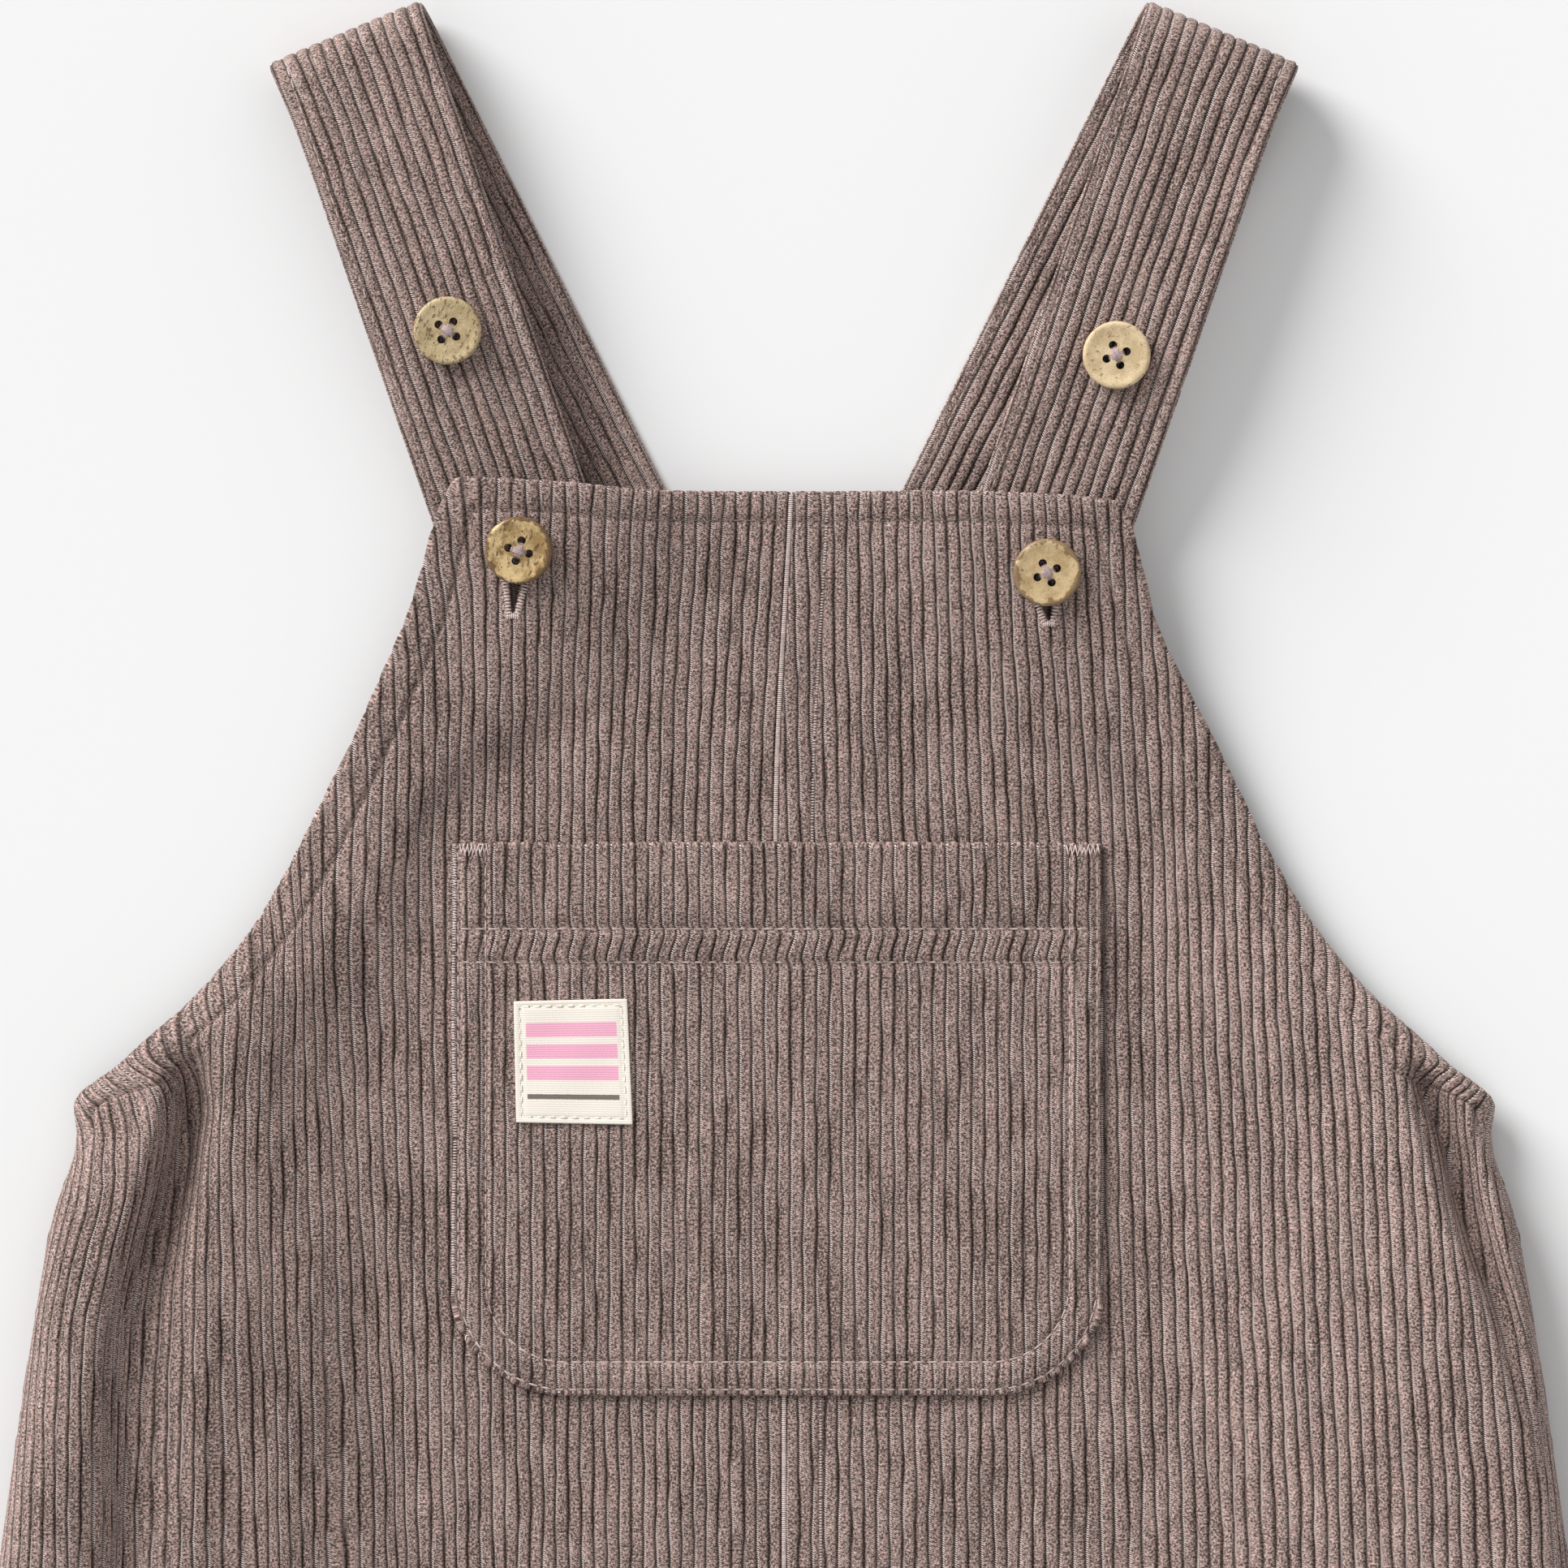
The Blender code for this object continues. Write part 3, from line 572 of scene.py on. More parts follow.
class FrontHalf:
    """One half of the front: where its cloth lies, with seams, turned edges and dents."""

    def __init__(self, side, pitch, height):
        self.side = side
        self.pitch = pitch
        self.height = height
        self.lay = Lay(side, front_half, front_height, BIB_TOP_Y)

    def shift(self, s, y):
        """What takes a cord's own distance to its place across."""
        cut = through(SEAM_CUT, y) if self.side > 0 else 0.0
        return cut - stray(self.side, s, y)

    def band(self, y):
        """The armhole band's bend, its width across the cords, and their ratio."""
        bend, width = through(BAND_BEND[self.side], y), BAND_WIDTH * self.lay.steepness(y)
        return bend, width, np.minimum(bend / width, 0.8)

    def across(self, u, y):
        """Cloth distance from the centre seam of the cord at u."""
        own = u - self.shift(u, y)
        edge = self.lay.edge(y)
        bend, width, share = self.band(y)
        turned = (own + bend - share * edge) / (1 - share)
        s = np.where(own > edge - width, turned, own)
        return np.clip(s, 0.0, edge)

    def tops(self, u, inset):
        """Height at which each cord ends, at the bib's top or the armhole."""
        levels = np.linspace(UNDERARM_Y, BIB_TOP_Y, 700)
        edge = self.lay.edge(levels)
        bend, _, share = self.band(levels)
        steep = self.lay.steepness(levels)
        ends = edge - bend - inset * steep * (1 - share) + self.shift(edge, levels)
        ends = np.minimum.accumulate(ends)
        y = np.interp(-u, -ends, levels)
        slope = (levels[-1] - levels[-60]) / (ends[-1] - ends[-60])
        y = np.where(u < ends[-1], levels[-1] + (u - ends[-1]) * slope, y)
        top = BIB_TOP_Y - inset
        blend = 2.5 * MM
        mix = np.clip(0.5 + 0.5 * (top - y) / blend, 0, 1)
        return y * mix + top * (1 - mix) - blend * mix * (1 - mix)

    def seam_shift(self, s, y):
        return through(SEAM_LINE, y) * (1 - ease(*SEAM_SHIFT_FADES, s))

    def edge_distance(self, s, y):
        """Distance to the armhole's edge and to the bib's top."""
        arm = (self.lay.edge(y) - s) / self.lay.steepness(y)
        arm = np.where(y > UNDERARM_Y - 12 * MM, arm, 1.0)
        return arm, BIB_TOP_Y - y

    def lines(self, s, y):
        """How strongly the topstitching dents the cloth, and how far turned edges lift it."""
        arm, top = self.edge_distance(s, y)
        spread = 0.75 * MM
        above = ease(4 * MM, 14 * MM, y)
        dents = [peak(arm, BAND_WIDTH, spread) * above * (top > TOP_BAND_WIDTH),
                 peak(top, TOP_BAND_WIDTH, spread) * (arm > BAND_WIDTH)]
        lift = np.maximum(
            (1 - ease(BAND_WIDTH - spread, BAND_WIDTH + spread, arm)) * above,
            1 - ease(TOP_BAND_WIDTH - spread, TOP_BAND_WIDTH + spread, top),
        ) * 0.35 * MM
        hem = y - HEM_Y
        dents += [peak(hem, line, spread) for line in HEM_LINES]
        lift = lift + 0.3 * MM * (1 - ease(20 * MM, 23 * MM, hem))
        if self.side > 0:
            dents.append(0.8 * peak(s, SEAM_TOPSTITCH, spread))
            lift = lift + 0.4 * MM * (1 - ease(7.6 * MM, 9.2 * MM, s))
        return reduce(np.maximum, dents), lift

    def place(self, s, y):
        """A point of the outer face, as an array (..., 3)."""
        x, z = self.lay.place(s, y)
        x = np.where(s < 0, s, x)
        x = self.side * (x + RIM * (1 - ease(0, 60 * MM, s))) + self.seam_shift(s, y)
        return stack(x, y + bib_rise(x, y), z)

    def surface(self, s, y):
        """Groove-level points and normals, and how far stitches and buttonholes dent there."""
        normal = surface_normals(self.place, s, y, self.side)
        dent, lift = self.lines(s, y)
        place = self.place(s, y)
        hole = buttonhole(place[..., 0], place[..., 1])
        sink = self.height - CROWN_LIFT - lift + 0.32 * MM * dent + 1.2 * MM * hole
        return place - normal * sink[..., None], normal, dent, hole


FRONT_TOP_STEPS = row_steps((30, 1.0), (20, 1.5), (18, 5.0))
SKIRT_STEPS = row_steps((32, 3.0), (22, 7.6), (24, 1.0))
STRAY_INWARDS = 4 * MM
SIDE_SEAM_IN = 1.3 * MM
SIDE_SEAM_SIZE = (0.42 * MM, 0.85 * MM)


def front_mesh(name, half):
    """Half of the front with all its cords."""
    count = math.ceil((half.lay.lengths.max() + STRAY_INWARDS) / half.pitch)
    u, number, profile = wale_columns(count, half.pitch, CORD)
    y = panel_rows(half.tops(u, EDGE_INSET), FRONT_TOP_STEPS, SKIRT_STEPS)
    sway = wobble(number + 0 * y, y, 3 + half.side, 0.15 * MM) * (number > 0)
    s = half.across(u + sway, y)
    base, normal, dent, hole = half.surface(s, y)
    collapsed = (s <= 0) | (s >= half.lay.edge(y))
    relief = half.height * profile * unevenness(number, y, 11 + half.side)
    relief = relief * (1 - 0.6 * dent) * (1 - hole) * ~collapsed
    # Lower cords on steep slopes, where they would hide their own grooves
    relief *= 1 - 0.5 * ease(0.85, 0.62, normal[..., 2])
    relief[:2] *= np.array([0.45, 0.8])[:, None]
    # Its third part, the height share, sets where the material paints shade in the grooves, the
    # stitch dents and the open buttonholes
    cloth = stack(half.side * number, y, profile * (1 - 0.8 * dent) - 1.5 * hole)
    return shell(name, base, normal, relief, cloth, len(CORD))


def side_seam_mesh(name, side):
    """The seam that closes the front's side edge onto the back's."""
    y = np.linspace(HEM_Y + EDGE_INSET, UNDERARM_Y - 1.5 * MM, 150)[:, None]
    turn = np.linspace(0, math.tau, 12, endpoint=False)
    x = front_half(y) - SIDE_SEAM_IN + SIDE_SEAM_SIZE[0] * np.cos(turn)
    z = through(FRONT_LIE, y, 5) - SIDE_SEAM_GAP / 2 + SIDE_SEAM_SIZE[1] * np.sin(turn)
    return tube_mesh(name, stack(side * x, y, z), stack(turn, y, 0.6))


# ---- Straps ----

STRAP_CORDS = 12
STRAP_CORE = 0.45 * MM
STRAP_RELIEF = 0.72 * MM
STRAP_SIDE = 0.62 * MM
STRAP_STITCHES = STRAP_WIDTH / 2 - 2.6 * MM
FOLD_RUN = math.pi * FOLD_RADIUS
STRAP_AHEAD = np.array([-math.sin(FOLD_TILT), math.cos(FOLD_TILT)])
STRAP_ASIDE = np.array([math.cos(FOLD_TILT), math.sin(FOLD_TILT)])
STRAP_START = np.array(FOLD_CENTRE) - STRAP_AHEAD * FOLD_RADIUS


def strap_outer(run, across):
    """A point of the left strap's outer face; run is negative on the front."""
    ahead = run * math.cos(STRAP_LEAN) - across * math.sin(STRAP_LEAN)
    beside = run * math.sin(STRAP_LEAN) + across * math.cos(STRAP_LEAN)
    turn = np.clip(ahead / FOLD_RADIUS, 0, math.pi)
    forward = np.where(ahead < 0, ahead, np.where(ahead > FOLD_RUN, FOLD_RUN - ahead, 0))
    forward = forward + np.sin(turn) * FOLD_RADIUS
    front = through(STRAP_LIE, -ahead)
    z = np.where(ahead < 0, front, FOLD_RADIUS * (1 + np.cos(turn)))
    flat = STRAP_START + STRAP_AHEAD * forward[..., None] + STRAP_ASIDE * beside[..., None]
    return np.concatenate([flat, z[..., None]], -1)


def strap_end(across):
    """The run at which the back of the band meets the back panel."""
    near, far = (strap_outer(k * FOLD_RUN + 0 * across, across)[..., 1] for k in (2, 3))
    return 2 * FOLD_RUN + (BACK_TOP_Y + SEAM_GAP - near) / ((far - near) / FOLD_RUN)


def strap_normal(run, across):
    step = 0.3 * MM
    ahead = strap_outer(run + step, across) - strap_outer(run - step, across)
    aside = strap_outer(run, across + step) - strap_outer(run, across - step)
    return unit(np.cross(aside, ahead))


def strap_mesh(name, side, seed):
    """A folded band with cords on both faces and rounded edges."""
    reach = STRAP_WIDTH / 2 - STRAP_SIDE
    pitch = 2 * reach / STRAP_CORDS
    u, number, profile = wale_columns(STRAP_CORDS, pitch, CORD)
    dent = peak(np.abs(u - reach), STRAP_STITCHES, 0.7 * MM)
    relief = STRAP_CORE + STRAP_RELIEF * profile * (1 - 0.5 * dent)
    turns = np.radians((40, 90, 140))
    bulge, level = reach + STRAP_SIDE * np.sin(turns), STRAP_SIDE * np.cos(turns)
    across = np.concatenate([u - reach, bulge, reach - u, -bulge])
    out = np.concatenate([relief, level, -relief, -level])
    rolled = np.ones(len(turns))
    numbers = np.concatenate([number, (STRAP_CORDS + 0.3) * rolled,
                              STRAP_CORDS - number, -0.3 * rolled])
    heights = np.concatenate([profile, 0.7 * rolled] * 2)
    flat = 1.15 * FOLD_RUN
    front = np.concatenate([np.arange(-STRAP_FRONT_LENGTH, -6 * MM, 3 * MM),
                            np.arange(-6 * MM, flat, 1.2 * MM)])
    end = strap_end(across) - flat
    share = np.linspace(0, 1, 48)[:, None]
    runs = np.concatenate([np.repeat(front[:, None], len(across), 1), flat + share * end])
    spread, numbers = np.broadcast_arrays(across, numbers, runs)[:2]
    sway = wobble(np.abs(numbers), runs, seed, 0.11 * MM) * (np.abs(spread) < reach - pitch / 2)
    near_fold = peak(runs, FOLD_RUN / 2, 17 * MM)
    flared = spread * (1 + 0.045 * near_fold) - 0.9 * MM * near_fold
    points = strap_outer(runs, flared + sway)
    points = points + strap_normal(runs, spread) * (out - STRAP_THICKNESS / 2)[:, None]
    points[..., 0] = np.minimum(points[..., 0], -SEAM_GAP / 2) * -side
    return tube_mesh(name, points, stack(40 - side * numbers, runs, heights))


# ---- Pocket ----

POCKET_KNEE = POCKET_BOTTOM_Y + POCKET_CORNER
POCKET_SPLIT_Y = POCKET_KNEE + 9 * MM
POCKET_SIDE_LINES = (1.7 * MM, 8.2 * MM)
POCKET_TOP_STEPS = row_steps((3, 1.0), (5, 3.0), (13, 1.0), (18, 3.4))
POCKET_FOOT_STEPS = row_steps((14, 0.9), (8, 3.5))
POCKET_THREAD_LIFT = 0.42 * MM
# How far the cords lean to the right (mm) below the pocket's mouth, by distance down:
# the hem's two lines of stitches drag them apart
POCKET_LEAN = ((0, 0.0), (19.6, 0.0), (21.2, 0.75), (27.9, -0.7), (29.5, 0.0), (140, 0.0))


def pocket_outer(x, y):
    """A point of the pocket's outer face."""
    return stack(x, y, front_height(x, y) + SEAM_GAP + WALL)


def pocket_aside(x):
    """Distance from the straight part of the pocket's foot."""
    return np.maximum(POCKET_LEFT + POCKET_CORNER - x, x - POCKET_RIGHT + POCKET_CORNER)


def pocket_depth(x, y):
    """Distance in from the pocket's sides and rounded foot."""
    aside = pocket_aside(x)
    down = POCKET_KNEE - y
    outside = np.hypot(np.maximum(aside, 0), np.maximum(down, 0))
    return POCKET_CORNER - outside - np.minimum(np.maximum(aside, down), 0)


def pocket_lines(x, y):
    """How strongly stitching dents the pocket, and how far doubled cloth lifts it."""
    depth = pocket_depth(x, y)
    below = POCKET_TOP_Y - y
    spread = 0.7 * MM
    dents = [peak(depth, line, spread) for line in POCKET_SIDE_LINES]
    dents += [0.9 * peak(below, line, spread) for line in POCKET_HEM_LINES]
    lift = np.maximum(1 - ease(7.6 * MM, 9 * MM, depth), 1 - ease(28 * MM, 29.5 * MM, below))
    return reduce(np.maximum, dents), lift * 0.3 * MM


def pocket_surface(x, y):
    normal = surface_normals(pocket_outer, x, y, 1)
    dent, lift = pocket_lines(x, y)
    sink = 0.8 * MM - lift + 0.5 * MM * dent
    return pocket_outer(x, y) - normal * sink[..., None], normal, dent


def pocket_mesh(name, pitch, height):
    """The patch pocket with its cords, turned hem and turned edges."""
    inset = RIM + 0.65 * MM
    side_inset = RIM + 0.2 * MM
    left, right = POCKET_LEFT + side_inset, POCKET_RIGHT - side_inset
    count = round((right - left) / pitch)
    u, number, profile = wale_columns(count, (right - left) / count, CORD)
    x = left + u
    share = np.clip(pocket_aside(x) / (POCKET_CORNER - side_inset), 0, 1)
    foot = POCKET_KNEE - (POCKET_CORNER - inset) * np.sqrt(1 - share**2)
    top = POCKET_TOP_Y - inset
    upper = top - fill_rows(np.array([top - POCKET_SPLIT_Y]), POCKET_TOP_STEPS)
    lower = foot + fill_rows(POCKET_SPLIT_Y - foot, POCKET_FOOT_STEPS)
    y = np.concatenate([np.repeat(upper, len(x), 1), lower[::-1][1:]])
    sway = wobble(number + 0 * y, y, 23, 0.13 * MM) * ((number > 0) & (number < count))
    inside = ease(0.5 * MM, 9 * MM, u) * ease(0.5 * MM, 9 * MM, u[-1] - u)
    lean = through(POCKET_LEAN, POCKET_TOP_Y - y) * inside
    base, normal, dent = pocket_surface(x + sway + lean, y)
    relief = height * profile * unevenness(number, y, 29) * (1 - 0.65 * dent)
    cloth = stack(number - 100, y, profile * (1 - 0.5 * dent))
    return shell(name, base, normal, relief, cloth, len(CORD), soften=0.1)


# ---- Back ----

BACK_TOP_STEPS = row_steps((14, 7.0))
BACK_SKIRT_STEPS = row_steps((44, 6.0), (12, 1.5))


class BackPanel:
    """The back in one piece, its outer face down."""

    def __init__(self, height):
        self.height = height
        self.lay = Lay(1, back_half, back_height, BACK_TOP_Y)

    def place(self, s, y):
        x, z = self.lay.place(np.abs(s), y)
        return stack(np.sign(s) * x, y, z)

    def surface(self, s, y):
        normal = surface_normals(self.place, s, y, -1)
        return self.place(s, y) - normal * (self.height - CROWN_LIFT), normal


def back_mesh(name, pitch, height):
    """The back panel with plain cords."""
    panel = BackPanel(height)
    count = 2 * math.ceil(panel.lay.lengths.max() / pitch)
    u, number, profile = wale_columns(count, pitch, PLAIN_CORD)
    u = u - u[-1] / 2
    levels = np.linspace(UNDERARM_Y, BACK_TOP_Y, 300)
    ends = np.minimum.accumulate(panel.lay.edge(levels))
    tops = np.maximum(np.interp(-np.abs(u), -ends, levels), UNDERARM_Y) - EDGE_INSET
    y = panel_rows(tops, BACK_TOP_STEPS, BACK_SKIRT_STEPS)
    edge = panel.lay.edge(y)
    s = np.clip(u, -edge, edge)
    base, normal = panel.surface(s, y)
    relief = height * profile * (np.abs(s) < edge)
    cloth = stack(number + 150, y, profile)
    return shell(name, base, normal, relief, cloth, len(PLAIN_CORD), soften=0.9)


# ---- Label ----

LABEL_RIB = 0.55 * MM
LABEL_LIFT = 0.42 * MM


def label_place(h, v):
    """A point on the patch, from shares of -0.5 to 0.5 to the right and down."""
    right, down = h + 0.5, v + 0.5
    (ax, ay), (bx, by), (cx, cy), (dx, dy) = LABEL_CORNERS
    x, y = ((a * (1 - right) + b * right) * (1 - down) + (d * (1 - right) + c * right) * down
            for a, b, c, d in ((ax, bx, cx, dx), (ay, by, cy, dy)))
    ground = float(front_height(*map(np.array, LABEL_CENTRE))) + WALL + 2 * SEAM_GAP
    return stack(x * MM, y * MM, ground + LABEL_LIFT)


def label_stitches():
    """Running stitches round the patch."""
    far_h, far_v = (0.5 - LABEL_STITCH_IN / size for size in LABEL_SIZE)
    corners = ((-far_h, -far_v), (far_h, -far_v), (far_h, far_v), (-far_h, far_v))
    share = np.linspace(0, 1, 40)
    groups = []
    for (h0, v0), (h1, v1) in zip(corners, corners[1:] + corners[:1]):
        points = label_place(h0 + (h1 - h0) * share, v0 + (v1 - v0) * share)
        places = walk(points, np.broadcast_to(UP, points.shape), 2.7 * MM)
        groups.append((*places, 1.9 * MM, 0.16 * MM, 0.16 * MM))
    return groups


def label_mesh(name):
    """The cotton patch: fine crosswise ribs and turned edges, a little out of square."""
    width, height = LABEL_SIZE
    v = np.linspace(-0.5, 0.5, round(height / LABEL_RIB) * 2 + 1)[:, None]
    h, v = np.broadcast_arrays(np.linspace(-0.5, 0.5, 41), v)
    border = np.minimum(0.5 - np.abs(h), (0.5 - np.abs(v)) * height / width) * width
    dip = 0.16 * MM * peak(border, LABEL_STITCH_IN, 0.45 * MM)
    swell = 0.12 * MM * np.sin(9 * h + 2) * np.sin(7 * v + 1)
    base = label_place(h, v)
    base[..., 2] += swell - dip
    relief = 0.07 * MM * (np.arange(len(v)) % 2)[:, None] + 0 * v
    cloth = stack(h * width, v * height, border)
    return shell(name, base, np.broadcast_to(UP, base.shape), relief, cloth, 4, rim=0.19 * MM)


# ---- Buttons ----

BUTTON_PROFILE = (
    (0.0, 0.0), (6.6, 0.0), (7.5, 0.3), (7.9, 0.8), (8.0, 1.3), (8.0, 1.8), (7.9, 2.15),
    (7.7, 2.42), (7.45, 2.56), (7.1, 2.6), (6.7, 2.55), (6.2, 2.42), (5.4, 2.3), (4.3, 2.25),
    (2.0, 2.25), (0.0, 2.25),
)
BUTTON_SIDES = 72
BUTTON_HOLE = 0.95 * MM
BUTTON_DISH = 2.28 * MM


def button_mesh(name):
    """A turned button with a raised rim, a shallow dish and four holes, its foot at z = 0."""
    work = bmesh.new()
    points = [work.verts.new((r * MM, 0, z * MM)) for r, z in BUTTON_PROFILE]
    edges = [work.edges.new(pair) for pair in zip(points, points[1:])]
    bmesh.ops.spin(work, geom=points + edges, axis=(0, 0, 1), cent=(0, 0, 0),
                   steps=BUTTON_SIDES, angle=math.tau, use_merge=True)
    bmesh.ops.remove_doubles(work, verts=work.verts, dist=0.01 * MM)
    bmesh.ops.recalc_face_normals(work, faces=work.faces)
    mesh = bpy.data.meshes.new(name)
    work.to_mesh(mesh)
    work.free()
    drill = bmesh.new()
    for degrees in (45, 135, 225, 315):
        turn = math.radians(degrees)
        at = Vector((math.cos(turn), math.sin(turn), 0)) * BUTTON_HOLE_RING
        at.z = BUTTON_THICKNESS / 2
        bmesh.ops.create_cone(drill, cap_ends=True, segments=20, radius1=BUTTON_HOLE,
                              radius2=BUTTON_HOLE, depth=3 * BUTTON_THICKNESS,
                              matrix=Matrix.Translation(at))
    drill_mesh = bpy.data.meshes.new(name + "_drill")
    drill.to_mesh(drill_mesh)
    drill.free()
    blank = bpy.data.objects.new(name + "_blank", mesh)
    cutter = bpy.data.objects.new(name + "_drill", drill_mesh)
    for each in (blank, cutter):
        bpy.context.scene.collection.objects.link(each)
    holes = blank.modifiers.new("Holes", "BOOLEAN")
    holes.object = cutter
    holes.solver = "EXACT"
    bpy.context.view_layer.update()
    graph = bpy.context.evaluated_depsgraph_get()
    finished = bpy.data.meshes.new_from_object(blank.evaluated_get(graph))
    for each in (blank, cutter):
        bpy.data.objects.remove(each)
    finished.name = name
    finished.shade_smooth()
    finished.set_sharp_from_angle(angle=math.radians(35))
    return finished


def seat(at, surface):
    """Where a button rests on surface(x, y): its foot's centre and its upward direction."""
    x, y = at
    turns = np.linspace(0, math.tau, 16, endpoint=False)
    r = BUTTON_RADIUS

    def height(dx, dy):
        return surface(np.asarray(x + dx), np.asarray(y + dy))

    slope_x = float(height(r, 0) - height(-r, 0)) / (2 * r)
    slope_y = float(height(0, r) - height(0, -r)) / (2 * r)
    base = float(height(0, 0))
    dx, dy = r * np.cos(turns), r * np.sin(turns)
    lift = float((height(dx, dy) - base - slope_x * dx - slope_y * dy).max())
    normal = Vector((-slope_x, -slope_y, 1)).normalized()
    return Vector((x, y, base + max(lift, 0))) + normal * BUTTON_SEAT, normal


def strap_height(x, y):
    """Height of a strap's outer face on its front run, on either side."""
    ahead = (-np.abs(x) - STRAP_START[0]) * STRAP_AHEAD[0] + (y - STRAP_START[1]) * STRAP_AHEAD[1]
    return through(STRAP_LIE, -ahead)


# name: node, centre (mm), turn about its axis in degrees, and the shell: its name, three
# colours (light, dark, rim), flecks, reach of the bark (mm), gloss, seed
BUTTONS = {
    "button_left_strap": (
        "button_strap_left", (-79.3, 201.7), 11,
        "coconut_flecked", (0.60, 0.47, 0.27), (0.45, 0.335, 0.175), (0.12, 0.07, 0.032),
        0.085, -1.5, 0.45, 1.3,
    ),
    "button_right_strap": (
        "button_strap_right", (78.4, 196.0), -25,
        "coconut_pale", (0.78, 0.61, 0.38), (0.62, 0.46, 0.26), (0.30, 0.185, 0.09),
        0.03, -1.5, 0.45, 2.1,
    ),
    "button_left_bib": (
        "button_bib_left", (-62.6, 150.2), 29,
        "coconut_golden", (0.74, 0.54, 0.27), (0.36, 0.225, 0.085), (0.10, 0.05, 0.02),
        0.05, 0.9, 0.22, 3.7,
    ),
    "button_right_bib": (
        "button_bib_right", (62.1, 145.0), -20,
        "coconut_amber", (0.66, 0.49, 0.27), (0.50, 0.345, 0.165), (0.17, 0.095, 0.045),
        0.0, 1.3, 0.34, 5.2,
    ),
}


def button_threads(place):
    """Threads that cross between the holes of a button at this place (a 4 x 4 matrix)."""
    turned, foot = place[:3, :3], place[:3, 3]
    up = turned[:, 2]
    groups = []
    for turn, lift in ((math.radians(45), 0.10), (math.radians(135), 0.28)):
        ahead = turned @ np.array([math.cos(turn), math.sin(turn), 0.0])
        aside = turned @ np.array([-math.sin(turn), math.cos(turn), 0.0])
        middle = foot + up * (BUTTON_DISH + (lift + 0.18) * MM)
        centres = [middle + aside * k * 0.34 * MM for k in (-1.5, -0.5, 0.5, 1.5)]
        length = 2 * BUTTON_HOLE_RING - 0.7 * MM
        groups.append((centres, [ahead] * 4, [up] * 4, length, 0.21 * MM, (0.9 + lift) * MM))
    return groups


# ---- Stitches ----

STITCH_LENGTH = 2.7 * MM
STITCH_GAP = 0.55 * MM
THREAD = 0.24 * MM


def walk(points, normals, step):
    """Places every step along a line of points, with directions and normals."""
    run = distances(points)
    at = np.arange(step / 2, run[-1] - step / 3, step)
    ahead = unit(read(at + step / 4, run, points) - read(at - step / 4, run, points))
    up = read(at, run, normals)
    up -= (up * ahead).sum(1, keepdims=True) * ahead
    return read(at, run, points), ahead, unit(up)


# A thread's rings: share of its length, share of its radius
THREAD_RINGS = ((-0.42, 0.7), (-0.2, 1.0), (0.2, 1.0), (0.42, 0.7))
THREAD_SIDES = 6


def threads(centres, directions, ups, length, radius, arch):
    """Vertices and faces of short rounded threads, one at each centre."""
    turns = [math.tau * k / THREAD_SIDES for k in range(THREAD_SIDES)]
    vertices, faces = [], []
    for centre, ahead, up in zip(centres, directions, ups):
        aside = np.cross(ahead, up)
        first = len(vertices)
        vertices.append(centre - ahead * length * 0.5 - up * arch)
        for share, size in THREAD_RINGS:
            middle = centre + ahead * length * share - up * arch * (2 * abs(share)) ** 2
            vertices += [middle + radius * size * (math.cos(turn) * aside + math.sin(turn) * up)
                         for turn in turns]
        last = len(vertices)
        vertices.append(centre + ahead * length * 0.5 - up * arch)
        for k in range(THREAD_SIDES):
            after = (k + 1) % THREAD_SIDES
            faces.append((first, first + 1 + after, first + 1 + k))
            for a in range(first + 1, last - THREAD_SIDES, THREAD_SIDES):
                b = a + THREAD_SIDES
                faces.append((a + k, a + after, b + after, b + k))
            tail = last - THREAD_SIDES
            faces.append((last, tail + k, tail + after))
    return vertices, faces


def thread_piece(name, groups, material, slot="corduroy"):
    """One piece of many threads; a group is (centres, directions, ups, length, radius, arch)."""
    vertices, faces = [], []
    for group in groups:
        more, joined = threads(*group)
        faces += [tuple(i + len(vertices) for i in face) for face in joined]
        vertices += more
    mesh = bpy.data.meshes.new(name)
    mesh.from_pydata([tuple(v) for v in vertices], [], faces)
    mesh.shade_smooth()
    return lay_piece(name, mesh, material, slot=slot)


def run_stitches(surface, lift):
    """Running stitches at this lift along a line of a surface."""
    base, normal = surface[:2]
    places = walk(base + normal * lift, normal, STITCH_LENGTH + STITCH_GAP)
    return *places, STITCH_LENGTH, THREAD, 0.10 * MM


def front_stitches(half):
    """Topstitching of the armhole, the bib's top and the hem."""
    lay = half.lay
    level = BIB_TOP_Y - TOP_BAND_WIDTH

    def armhole(y):
        return lay.edge(y) - BAND_WIDTH * lay.steepness(y)

    y = np.linspace(UNDERARM_Y + 2 * MM, level, 300)
    s = np.linspace(0.6 * MM, float(armhole(level)), 200)
    wide = np.linspace(1 * MM, float(lay.edge(HEM_Y + 20 * MM)), 400)
    lines = [(armhole(y), y), (s, level + 0 * s)]
    lines += [(wide, HEM_Y + line + 0 * wide) for line in HEM_LINES]
    return [run_stitches(half.surface(*line), 0.18 * MM) for line in lines]


def ladder(points, normals, length, step=0.66 * MM, radius=0.18 * MM, seed=5, missing=0.12):
    """Close short threads across a line, missing here and there."""
    centres, _, up = walk(points, normals, step)
    kept = np.random.default_rng(seed).random(len(centres)) > missing
    across = unit(np.array([1.0, 0.0, 0.0]) - up[:, :1] * up)
    return centres[kept], across[kept], up[kept], length, radius, 0.12 * MM


